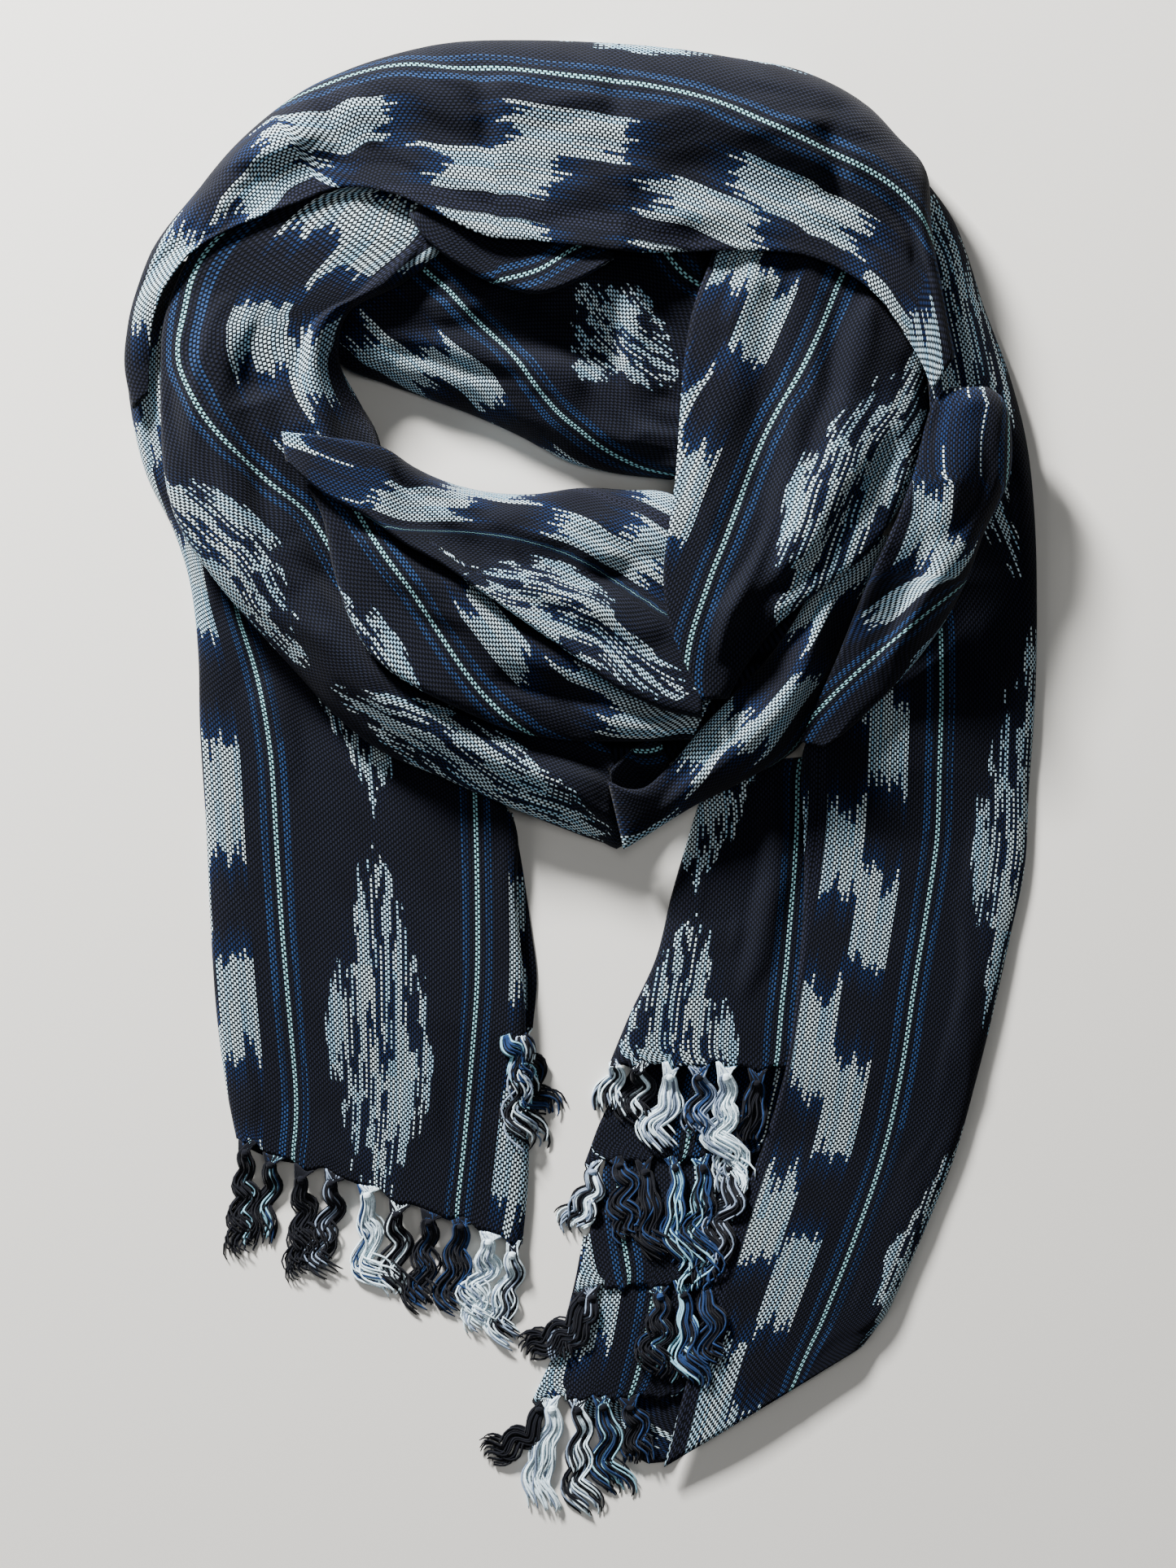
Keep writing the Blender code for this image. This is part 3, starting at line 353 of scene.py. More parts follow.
def grown(heights):
    """The map with each cell raised to the highest of the nine round it."""
    padded = np.pad(heights, 1)
    columns, rows = heights.shape
    shifted = [padded[i : i + columns, j : j + rows] for i in range(3) for j in range(3)]
    return np.max(shifted, axis=0)


print("cells in the map:", pile.size)

# %% [markdown]
# ## The surface of one stretch
# Across the band, the cloth runs from its flap under the left edge, round the curl, over the top,
# and round to the flap on the right. One function gives every point of that grid from two numbers,
# the section along the band and the place across it. Its height is what its edges rest on, plus the
# crown with its creases and small rumples, less what a rounded band loses towards its edges, times
# a shoulder that falls away at a folded edge as a quarter of an ellipse.

# %% The stretch as a grid of points
WALL = 0.9          # mm
CURL_RADIUS = 2.6   # mm
LEAST_RISE = 5.0    # mm
BELL = 0.24         # half-width of a rumple's ridge, in spacings
EVENED = 7          # sections on each side over which an edge's height is evened
FULL_CROWN = 26     # mm; a lower crown has smaller rumples
BRIDGED = 14        # rings of points over which cloth bridges a step
# spacing across, slant along, length of the bend, height, all in mm
RUMPLES = (
    (44, 700, 210, 3.0), (29, -520, 150, 2.2), (20, 420, 110, 1.5), (14, -300, 80, 0.9),
    (9, 200, 60, 0.5),
)
# name: (share of its height that a band has by being round, mm of its first end that turns down)
ROUNDED = {
    "outer_arc": (0.22, 0), "left_band": (0.25, 0), "front_band": (0.15, 26), "front_roll":
    (0.25, 22), "back_band": (0.2, 0), "crossing_band": (0.3, 14), "inner_band": (0.18, 0),
    "right_fold": (0.25, 9), "right_tail": (0.12, 0), "inner_curl": (0.2, 6),
}


def shoulder(share, reach):
    """A quarter of an ellipse: root of 1 - (1 - share / reach)^2."""
    return np.sqrt(np.maximum(1 - (1 - np.minimum(share / reach, 1)) ** 2, 0))


def droop(share, rim):
    """From the rim's height at the edge to 1 half way across, as a quarter of a sine."""
    return rim + (1 - rim) * np.sin(np.pi / 2 * np.minimum(share / 0.5, 1))


def crease_heights(name, along, across, width, length):
    """Sum of bells, depth times e to the -(distance / half-width)^2, each fading in and out along
    its line as a half sine, and wandering off the line by a slow wave of its own."""
    x, y = along * length, across * width
    total = np.zeros(np.broadcast(x, y).shape)
    for number, (start, end, first, last, depth, half) in enumerate(CREASES.get(name, ())):
        from_x, to_x, from_y, to_y = start * length, end * length, first * width, last * width
        reach = np.hypot(to_x - from_x, to_y - from_y)
        ahead = ((to_x - from_x) / reach, (to_y - from_y) / reach)
        place = np.clip(((x - from_x) * ahead[0] + (y - from_y) * ahead[1]) / reach, 0, 1)
        aside = (y - from_y) * ahead[0] - (x - from_x) * ahead[1]
        slow, quick = np.sin(7.0 * place + 1.7 * number), np.sin(17.0 * place + number)
        wander = half * (0.25 * slow + 0.12 * quick)
        total += depth * np.sin(np.pi * place) ** 0.7 * np.exp(-(((aside + wander) / half) ** 2))
    return total


def rumples(name, along, across, width, length):
    """The small unevenness of soft cloth: five sets of ridges and troughs that run along the band.
    Each is a bell, e to the -(distance / 0.24 spacings)^2, alternately up and down. Its line leans
    and bends as it goes, and it comes and goes along the band as a squared sine."""
    x, y = along * length, across * width
    seed = 0.7 * list(STRETCHES).index(name)
    total = np.zeros(np.broadcast(x, y).shape)
    for spacing, slant, bend, size in RUMPLES:
        phase = y / spacing + x / slant + 0.30 * np.sin(2 * np.pi * (x / bend + seed)) + seed
        line = np.round(phase)
        bell = np.exp(-(((phase - line) / BELL) ** 2)) * np.cos(np.pi * line)
        fade = np.sin(np.pi * (x / bend + 0.31 * line + seed)) ** 2
        total += size * bell * fade
        seed += 0.37
    return total


def edge_base(edge, inward, reach, heights):
    """Height that carries each section's edge: the most that lies under its flap, evened along
    it."""
    places = edge[None] + inward[None] * reach[None] * np.linspace(0, 1, 9)[:, None, None]
    most = heights[cells(places)].max(axis=0)
    padded = np.pad(most, 2 * EVENED, mode="edge")
    widest = np.max([padded[k : k + len(most) + 2 * EVENED] for k in range(2 * EVENED + 1)], axis=0)
    evened = np.mean([widest[k : k + len(most)] for k in range(2 * EVENED + 1)], axis=0)
    return np.where(evened > 0, evened + SEAM, 0)[:, None]


def stretch_grid(name, heights):
    """(points, which columns are the top, length along in mm)."""
    left, right, flap, left_rim, right_rim = STRETCHES[name]
    table, run = read_table(SECTIONS[name], GRID)
    start, end, crown = table[:, None, 0:2], table[:, None, 2:4], table[:, 4:5]
    width = np.linalg.norm(end - start, axis=2)
    inward = (end - start)[:, 0] / width
    along = np.linspace(0, 1, len(table))[:, None]
    even = np.linspace(0, 1, int(width.max() / GRID) + 2)
    eased = {
        ("fold", "fold"): (1 - np.cos(np.pi * even)) / 2,
        ("selvage", "fold"): np.sin(np.pi / 2 * even),
        ("fold", "selvage"): 1 - np.cos(np.pi / 2 * even),
        ("selvage", "selvage"): even,
    }[left, right]
    share = (0.6 * eased + 0.4 * even)[None, :]
    curl = np.minimum(CURL_RADIUS, 0.35 * width)
    under = np.minimum(max(flap, 1.0), 0.38 * width)
    left_base = edge_base(start[:, 0], inward, under, heights)
    right_base = edge_base(end[:, 0], -inward, under, heights)
    left_start = left_base + (curl if left == "fold" else WALL)
    right_start = right_base + (curl if right == "fold" else WALL)
    base = left_start + (right_start - left_start) * share
    reach = np.clip((1.3 * (crown - left_base) + 4) / width, 0.05, 0.5)
    drooping = droop(share, left_rim) * np.ones_like(width)
    rise = shoulder(share, reach) if left == "fold" else drooping
    reach = np.clip((1.3 * (crown - right_base) + 4) / width, 0.05, 0.5)
    rise = rise * (shoulder(1 - share, reach) if right == "fold" else droop(1 - share, right_rim))
    ruffle = np.clip(crown / FULL_CROWN, 0.5, 1) * rumples(name, along, share, width, run[-1])
    round_share, turned = ROUNDED.get(name, (0.0, 0))
    creased = crown - base + DEEPER * crease_heights(name, along, share, width, run[-1]) + ruffle
    creased = creased - round_share * np.maximum(crown - base, 0) * (2 * share - 1) ** 2
    if turned:
        rise = rise * (0.25 + 0.75 * shoulder(run[:, None], turned))
    top = base + np.maximum(creased, min(LEAST_RISE, table[:, 4].min()) - WALL) * rise
    turn = np.linspace(1.5 * np.pi, np.pi, 5)[:-1]
    flap_run = under + (curl - under) * np.linspace(0, 1, 4)[:-1]
    edge = np.hstack([flap_run, curl + curl * np.cos(turn)])
    edge_height = np.hstack([0 * flap_run, curl + curl * np.sin(turn)])
    distance, height, is_top = [share * width], [top], [True] * len(even)
    if left == "fold":
        distance.insert(0, edge)
        height.insert(0, edge_height + left_base)
        is_top = [False] * edge.shape[1] + is_top
    if right == "fold":
        distance.append((width - edge)[:, ::-1])
        height.append(edge_height[:, ::-1] + right_base)
        is_top = is_top + [False] * edge.shape[1]
    distance = np.hstack(distance)
    points = np.dstack([start + (end - start) * (distance / width)[:, :, None], np.hstack(height)])
    return points, np.array(is_top), run


def laid(points, is_top, heights):
    """The grid raised to its seat wherever it would cut into what lies below, with each raised spot
    lifting its neighbours a little less, ring by ring, as cloth bridges a step."""
    support = heights[cells(points)]
    seat = np.where(support > 0, support + SEAM + np.where(is_top, WALL, 0.0)[None, :], 0)
    least = np.maximum(seat - points[..., 2], 0)
    lift = least
    for _ in range(BRIDGED):
        padded = np.pad(lift, 1, mode="edge")
        beside = (padded[:-2, 1:-1] + padded[2:, 1:-1] + padded[1:-1, :-2] + padded[1:-1, 2:]) / 4
        lift = np.maximum(least, beside)
    return np.dstack([points[..., :2], points[..., 2] + lift])


print("grid spacing", GRID, "mm, wall", WALL, "mm")

# %% [markdown]
# ## Where the pattern falls
# The ikat pattern belongs to the yarn, so it follows the cloth round every bend. In a UV map, u is
# the distance in from the first selvage and v the distance along the warp, both real. A map could
# be unwrapped, but the cloth's own stripe says it better: each route below is a line that the
# stripe at that u takes over the laid cloth, and each mark is a place where a dyed block has its
# middle, with its v. The columns were tied separately, so each keeps marks of its own.

# %% Routes of the stripe, and marks along the columns
# name: rows of (u in mm, the line that it follows)
ROUTES = {
    "left_tail": (
        (66, ((-143, -188), (-141, -161), (-144, -121), (-148, -76), (-151, -31), (-154, 15),
            (-161, 53), (-171, 86), (-180, 137), (-188, 206), (-176, 256))),
        (168, ((-62, -218), (-58, -183), (-54, -140), (-51, -99), (-51, -55), (-52, -12),
            (-54, 40))),
    ),
    "left_under_edge": (
        (192, ((-58, -123), (-60, -16))),
    ),
    "right_tail": (
        (5, ((62, 290), (78, 230), (87, 180), (95, 140), (108, 110), (117, 80), (117, 30),
            (116, -24), (111, -62), (105, -98), (99, -138), (91, -178), (79, -216), (72, -240),
            (57, -290), (51, -317), (44, -346))),
        (66, ((122, 290), (138, 230), (147, 180), (155, 140), (168, 110), (177, 80), (177, 30),
            (176, -24), (171, -62), (165, -98), (159, -138), (151, -178), (139, -216), (123, -257),
            (104, -300))),
    ),
    "outer_arc": (
        (66, ((-238, 196), (-233, 232), (-218, 265), (-195, 295), (-166, 324), (-142, 335),
            (-123, 343), (-92, 351), (-70, 349), (-39, 348), (-7, 344), (10, 342), (37, 338),
            (64, 331), (92, 318), (120, 306), (138, 297), (153, 288), (170, 268), (180, 240),
            (186, 204))),
    ),
    "left_band": (
        (66, ((-78, 298), (-126, 294), (-166, 276), (-188, 252), (-195, 221), (-198, 208),
            (-192, 192), (-181, 174), (-160, 153), (-146, 141), (-134, 132), (-125, 118),
            (-114, 100), (-94, 74), (-50, 58), (-10, 32), (30, 12))),
        (6, ((-70, 265), (-86, 256), (-98, 245), (-110, 231), (-118, 216), (-121, 202), (-114, 184),
            (-94, 160), (-62, 128), (-22, 100), (18, 72), (58, 48))),
    ),
    "front_band": (
        (66, ((-126, 150), (-118, 142), (-108, 130), (-99, 115), (-85, 96), (-73, 78), (-62, 61),
            (-51, 46), (-38, 32), (-22, 21), (10, 8), (58, 12))),
    ),
    "front_roll": (
        (54, ((-138, 143), (-126, 136), (-108, 130), (-92, 124), (-77, 123), (-46, 122), (-14, 115),
            (18, 99), (46, 78))),
        (84, ((-140, 139), (-128, 132), (-110, 126), (-93, 120), (-77, 120), (-46, 118), (-15, 111),
            (17, 95), (45, 74))),
    ),
    "back_band": (
        (66, ((-94, 268), (-74, 249), (-54, 228), (-34, 209), (-17, 186), (-1, 172), (26, 155),
            (58, 148))),
    ),
    "inner_curl": (
        (66, ((-78, 244), (-62, 239), (-46, 242), (-29, 246), (-14, 252), (-4, 260), (10, 264))),
    ),
    "inner_band": (
        (66, ((138, 268), (125, 242), (116, 218), (105, 196), (94, 178), (84, 156), (74, 128),
            (62, 96), (52, 64), (50, 40))),
    ),
    "crossing_band": (
        (8, ((12, -10), (30, -2), (43, 8), (58, 26), (74, 42), (90, 58), (104, 78), (116, 100),
            (130, 118))),
    ),
    "right_fold": (
        (66, ((210, 192), (208, 144), (204, 112), (174, 86), (154, 70), (125, 44), (106, 24))),
    ),
    "upper_end": (
        (66, ((108, 8), (107, -24), (105, -56), (102, -88), (98, -130), (97, -144))),
    ),
    "middle_end": (
        (66, ((66, -104), (62, -136), (56, -164), (51, -188))),
    ),
    "lower_end": (
        (66, ((38, -240), (34, -264), (29, -288), (23, -308))),
    ),
    "third_end": (
        (66, ((16, -176), (18, -192), (19, -217), (22, -235), (25, -252))),
    ),
    "bottom_fold": (
        (8, ((42, -336), (2, -316), (-6, -296), (-10, -240))),
    ),
}
# name: which way u grows across, and how many mm of cloth there are in each mm across
ACROSS = {
    "left_tail": 1.0, "left_under_edge": 1.0, "right_tail": 1.1, "outer_arc": 0.85, "left_band":
    -1.0, "front_band": 1.0, "front_roll": 1.1, "back_band": 1.0, "inner_curl": 1.0, "inner_band":
    0.9, "crossing_band": 1.0, "right_fold": 1.0, "upper_end": -1.0, "middle_end": -1.0,
    "third_end": 1.0, "lower_end": 1.0, "bottom_fold": 1.0,
}
# name: column A or C (blocks) or B (long diamonds): middles as x, y, v
MARKS = {
    "left_tail": {
        "A": ((-176, -109, 34), (-178, -10, 128), (-188, 95, 222), (-213, 189, 316)),
        "B": ((-100, -130, 0), (-110, 58, 188)),
        "C": ((-34, -184, 0), (-30, -84, 94)),
    },
    "left_under_edge": {
        "C": ((-30, -60, 34), (-30, 34, 128)),
    },
    "right_tail": {
        "A": ((130, -32, 0), (120, -130, 94), (94, -216, 188), (68, -304, 282)),
        "B": ((194, 212, -188), (212, -36, 0), (156, -238, 188)),
    },
    "outer_arc": {
        "A": ((-152, 290, 0), (-40, 290, 94), (60, 278, 188), (152, 220, 282)),
        "B": ((28, 364, 0), (174, 252, 188)),
    },
    "left_band": {
        "A": ((-114, 274, 108), (-166, 219, 34), (-146, 195, 0)),
        "B": ((-178, 118, 0), (-50, 10, -188)),
    },
    "front_band": {
        "A": ((-52, 80, 20), (30, 35, 114)),
        "B": ((-94, 64, 0), (-30, -16, 90)),
    },
    "front_roll": {
        "A": ((-146, 164, 94), (-130, 152, 64), (-98, 144, 56), (-70, 136, 29), (-47, 134, 0),
            (0, 120, -48), (46, 96, -94)),
        "B": ((-10, 78, 0), (58, 40, 90)),
    },
    "back_band": {
        "A": ((-68, 205, 20), (2, 160, 114)),
        "B": ((13, 213, 0), (46, 184, 110)),
    },
    "inner_curl": {
        "A": ((-46, 264, 47), (-6, 264, 87)),
        "B": ((-46, 264, 94), (-6, 264, 134)),
    },
    "inner_band": {
        "A": ((88, 238, 20), (66, 148, 114)),
        "B": ((134, 192, -54), (118, 138, 0), (98, 84, 54)),
    },
    "crossing_band": {
        "A": ((22, -20, -60), (84, 26, 20), (130, 88, 94)),
    },
    "right_fold": {
        "A": ((206, 192, -32), (190, 148, -28), (170, 109, 20), (138, 44, 94)),
        "B": ((186, 128, -60), (158, 64, 0), (138, 36, 40)),
    },
    "upper_end": {
        "B": ((52, -132, 0), (74, 56, 188)),
        "A": ((98, -132, 40), (106, -56, 120)),
        "C": ((18, -132, 40), (50, -16, 140)),
    },
    "middle_end": {
        "A": ((42, -164, 62), (46, -136, 66)),
        "B": ((42, -164, 92), (46, -136, 98)),
    },
    "lower_end": {
        "A": ((-5, -240, 54), (-6, -292, 0)),
        "B": ((42, -236, 94), (42, -292, 40)),
    },
    "third_end": {
        "A": ((-1, -234, 24), (2, -192, -20)),
        "B": ((42, -236, 94), (42, -192, 50)),
    },
    "bottom_fold": {
        "A": ((13, -315, 0), (18, -276, 40)),
    },
}
print("routes:", sum(len(rows) for rows in ROUTES.values()))

# %% Work out u and v for every point
STRIPE_FROM = (58, 160)      # u at which the two stripes between the columns begin
STRIPE_WIDE = 16


def across_places(name, points, is_top, unrolled):
    """For each section, the unrolled place where each route crosses it: the crossing is where the
    route's distance to the section's line changes sign, which is where it is smallest."""
    start, end = points[:, is_top][:, 0, :2], points[:, is_top][:, -1, :2]
    width = np.linalg.norm(end - start, axis=1)
    way = (end - start) / width[:, None]
    found = []
    for u, line in ROUTES[name]:
        route = read_table(line, 1.0)[0] if len(line) > 2 else np.linspace(*line, 200)
        apart = route[None] - start[:, None]
        ahead = np.abs(apart[..., 0] * way[:, None, 1] - apart[..., 1] * way[:, None, 0])
        side = apart[..., 0] * way[:, None, 0] + apart[..., 1] * way[:, None, 1]
        past = np.maximum(-side, 0) + np.maximum(side - width[:, None], 0)
        nearest = np.argmin(ahead + 0.3 * past, axis=1)
        crossing = side[np.arange(len(side)), nearest]
        padded = np.pad(crossing, 4, mode="edge")
        crossing = np.mean([padded[k : k + len(crossing)] for k in range(9)], axis=0)
        plan = np.linalg.norm(points[:, is_top, :2] - start[:, None], axis=2)
        level = unrolled[:, is_top]
        place = np.array([np.interp(c, p, q) for c, p, q in zip(crossing, plan, level)])
        place = place + np.minimum(crossing, 0) + np.maximum(crossing - width, 0)
        found.append((u, place[:, None]))
    return found


def along_values(marks, points, run):
    """v for each section, on straight lines between the sections that the marks are on."""
    rows = []
    for x, y, v in marks:
        apart = np.linalg.norm(points[:, :, :2] - (x, y), axis=2).min(axis=1)
        rows.append((run[np.argmin(apart)], v))
    rows.sort()
    at, values = np.array(rows).T
    keep = np.concatenate([[True], np.diff(at) > 1])
    at, values = at[keep], values[keep]
    slope = (values[-1] - values[0]) / (at[-1] - at[0]) if len(at) > 1 else 1.0
    value = np.interp(run, at, values)
    return value + slope * (np.minimum(run - at[0], 0) + np.maximum(run - at[-1], 0))


def cloth_uv(name, points, is_top, run):
    """u from the unrolled distance to the routes, v from the marks of the column that u is in, and
    the plain distance along, which the threads of the weave keep to."""
    steps = np.linalg.norm(np.diff(points, axis=1), axis=2)
    unrolled = np.hstack([np.zeros((len(points), 1)), np.cumsum(steps, axis=1)])
    rate = ACROSS[name]
    (first, at_first), *second = across_places(name, points, is_top, unrolled)
    u = first + rate * (unrolled - at_first)
    for last, at_last in second:
        slope = (last - first) / (at_last - at_first)
        between = first + slope * (unrolled - at_first)
        beyond = last + rate * (unrolled - at_last)
        u = np.where(unrolled > at_last, beyond, np.where(unrolled > at_first, between, u))
    columns = {key: along_values(rows, points, run)[:, None] for key, rows in MARKS[name].items()}
    a = columns.get("A", columns.get("B", columns.get("C")))
    b = columns.get("B", a)
    c = columns.get("C", a)
    past_a, past_b = [np.clip((u - begins) / STRIPE_WIDE, 0, 1) for begins in STRIPE_FROM]
    v = a + (b - a) * past_a + (c - b) * past_b
    picks = np.broadcast_to(run[:, None], u.shape)
    return np.dstack([u, v, picks]) * MM


# %% [markdown]
# ## Finishes: one way to add a node
# The cloth is handloom cotton in plain weave. Its colour is in the yarn, not on it, so it has no
# gloss. Materials could be painted or baked, but nodes stay sharp at any distance. One function
# turns hex colours to the linear values that Blender mixes, and one adds a node and fills its
# sockets.

# %% Colours, and a node with its inputs
def linear(code, alpha=1.0):
    """sRGB hex to linear: c / 12.92 below 0.04045, and ((c + 0.055) / 1.055)^2.4 above."""
    parts = np.array([int(code[k : k + 2], 16) / 255 for k in (1, 3, 5)])
    straight = np.where(parts <= 0.04045, parts / 12.92, ((parts + 0.055) / 1.055) ** 2.4)
    return (*straight.tolist(), alpha)


def add(tree, kind, inputs=(), output=0, **settings):
    """Adds one node, sets its properties, and fills its inputs: a socket is linked, a value is
    set."""
    node = tree.nodes.new(kind)
    for key, value in settings.items():
        setattr(node, key, value)
    pairs = inputs.items() if isinstance(inputs, dict) else enumerate(inputs)
    for key, value in pairs:
        if isinstance(value, bpy.types.NodeSocket):
            tree.links.new(value, node.inputs[key])
        elif value is not None:
            node.inputs[key].default_value = value
    return node.outputs[output]


print("black-navy ground:", [round(c, 4) for c in linear("#0a0c18")])

# %% [markdown]
# ## The ikat chart
# Across the cloth, in mm: selvage 0-9, blocks 10-50 in two half columns, stripe 58-74, long
# diamonds 86-148, stripe 160-176, blocks 184-224, selvage 225-234. Blocks repeat every 94 mm, the
# diamonds every 188. Before weaving, bundles of yarn were tied and dyed, so every thread's dye ends
# at a place of its own. A drawn picture would blur that, so the chart is arithmetic on u and v:
# each thread gets a random shift, each bundle another, and a point is white, blue or dark by its
# distance from the block's middle.

# %% Wires: numbers that the material works out at each point
class Wire:
    """A number that runs through the material. Each sign between wires adds one Math node."""

    def __init__(self, tree, socket):
        self.tree, self.socket = tree, socket

    def math(self, operation, *values):
        """The node's result. Without values it reads this wire alone."""
        reads = [value.socket if isinstance(value, Wire) else value for value in values or (self,)]
        return Wire(self.tree, add(self.tree, "ShaderNodeMath", reads, operation=operation))

    def __add__(self, other):
        return self.math("ADD", self, other)

    def __sub__(self, other):
        return self.math("SUBTRACT", self, other)

    def __rsub__(self, other):
        return self.math("SUBTRACT", other, self)

    def __mul__(self, other):
        return self.math("MULTIPLY", self, other)

    def __truediv__(self, other):
        return self.math("DIVIDE", self, other)

    def __gt__(self, other):
        return self.math("GREATER_THAN", self, other)

    def __lt__(self, other):
        return self.math("LESS_THAN", self, other)

    def away(self, *middles):
        """Distance to the nearest of the middles: the least |wire - middle|."""
        nearest = (self - middles[0]).math("ABSOLUTE")
        for middle in middles[1:]:
            nearest = self.math("MINIMUM", nearest, (self - middle).math("ABSOLUTE"))
        return nearest

    def clamped(self):
        return self.math("MINIMUM", self.math("MAXIMUM", self, 0.0), 1.0)


def random_at(first, second, seed=0.37):
    """White noise: one number from 0 to 1 for each pair of whole numbers."""
    tree = first.tree
    pair = add(tree, "ShaderNodeCombineXYZ", (first.socket, second.socket, seed))
    return Wire(tree, add(tree, "ShaderNodeTexWhiteNoise", {"Vector": pair}, noise_dimensions="3D"))


print("one Math node for each sign")

# %% The chart's measures, in mm of cloth
THREAD = 1.3          # the real warp has one about every 1.0, drawn coarser so that it shows
PICK = 2.6            # of warp for one dash and the dark gap after it
TURN = 5.0            # u about which the pattern turns back past the selvage
MIDDLE_A, MIDDLE_B, MIDDLE_C = 30.0, 117.0, 204.0
INTO_C = 150.0        # u from which the two halves of column C count
REPEAT = 94.0
HALF_SLIDES = 34.0    # how far the second half of a block column is slid along
BLOCK_ACROSS, BLOCK_WHITE = 20.0, 23.0
BLUE_TO, BLUE_FADE = 38.0, 17.0
DIAMOND_RIM, DIAMOND_BLUE = 12.0, 0.16   # its blue rim, and how strong that blue is
DIAMOND_ACROSS, DIAMOND_ALONG, DIAMOND_TAPER, DIAMOND_CURVE = 31.0, 86.0, 84.0, 1.2
THREAD_JAG, BUNDLE_JAG, DIAMOND_JAG = 12.0, 13.0, 16.0
SHREDS = ((THREAD, 13.0), (3 * THREAD, 36.0))
SHREDS_WHITE = 0.55   # share of the diamond that its shreds leave white
STRIPES = (51 * THREAD, 129 * THREAD)
SELVAGES, SELVAGE_HALF = (4.5, 229.5), 4.5
DASH_LONG, DASH_WIDE = 0.36, 0.40   # half of a dash as a share of its pick and its thread
END_STEEP, SIDE_STEEP = 6.0, 5.0    # how steeply a dash rises at its ends and at its sides


def shreds(u, v, width, length):
    """Random cells of a width and a length, each column slid by 0.618 of a length past the last."""
    column = (u / width).math("FLOOR")
    row = ((v + column * (0.618 * length)) / length).math("FLOOR")
    return random_at(column, row, width)


def ikat_chart(u, v, thread):
    """White, blue and the thread's own random number, each from 0 to 1 at a point. A block is white
    where its distance along to the block's middle, with the thread's and the bundle's own shift, is
    under 23, and blue beyond that. A diamond reaches 86 - 84 (distance across / 31)^1.2 along, with
    the same shifts, and is broken by shreds."""
    second_half = (u > MIDDLE_A) - (u > INTO_C) + (u > MIDDLE_C)
    slid = v - second_half * HALF_SLIDES
    block, diamond = (slid / (REPEAT / 2)).math("FLOOR"), (v / REPEAT).math("FLOOR")
    bundle = (u / (4 * THREAD)).math("FLOOR")
    of_thread = random_at(thread, block)
    bundle_jag = (random_at(bundle, block) - 0.5) * BUNDLE_JAG
    jag = (of_thread - 0.5) * THREAD_JAG + bundle_jag
    from_block = u.math("PINGPONG", slid, REPEAT / 2) + jag
    in_block = u.away(MIDDLE_A, MIDDLE_C) < BLOCK_ACROSS
    across = u.away(MIDDLE_B)
    taper = u.math("POWER", across / DIAMOND_ACROSS, DIAMOND_CURVE) * -DIAMOND_TAPER
    reach = taper + DIAMOND_ALONG + (random_at(thread, diamond) - 0.5) * DIAMOND_JAG + bundle_jag
    within = reach - u.math("PINGPONG", v, REPEAT)
    in_diamond = across < DIAMOND_ACROSS
    fine, broad = [shreds(u, v, *size) * 0.5 for size in SHREDS]
    diamond_white = (within > 0.0) * in_diamond * (fine + broad < SHREDS_WHITE)
    block_blue = (BLUE_TO - from_block) / BLUE_FADE * in_block
    diamond_blue = (within + DIAMOND_RIM) / (2 * DIAMOND_RIM) * DIAMOND_BLUE * in_diamond
    white = u.math("MAXIMUM", (from_block < BLOCK_WHITE) * in_block, diamond_white)
    return white, u.math("MAXIMUM", block_blue, diamond_blue).clamped(), of_thread


def dashes(u, thread, along):
    """1 on a dash and 0 in the gaps round it. Each thread shows one dash in each pick, and every
    second thread's are half a pick further on."""
    pick = (along / (PICK * MM) + thread * 0.5).math("FRACT")
    ends = (DASH_LONG - pick.away(0.5)) * END_STEEP
    sides = (DASH_WIDE - (u / THREAD).math("FRACT").away(0.5)) * SIDE_STEEP
    return u.math("MINIMUM", ends, sides).clamped()


def finish_of(name, inputs):
    """A material with one Principled shader, and its tree and that shader."""
    material = bpy.data.materials.new(name)
    material.use_nodes = True
    shader = material.node_tree.nodes["Principled BSDF"]
    for key, value in inputs.items():
        shader.inputs[key].default_value = value
    return material, material.node_tree, shader


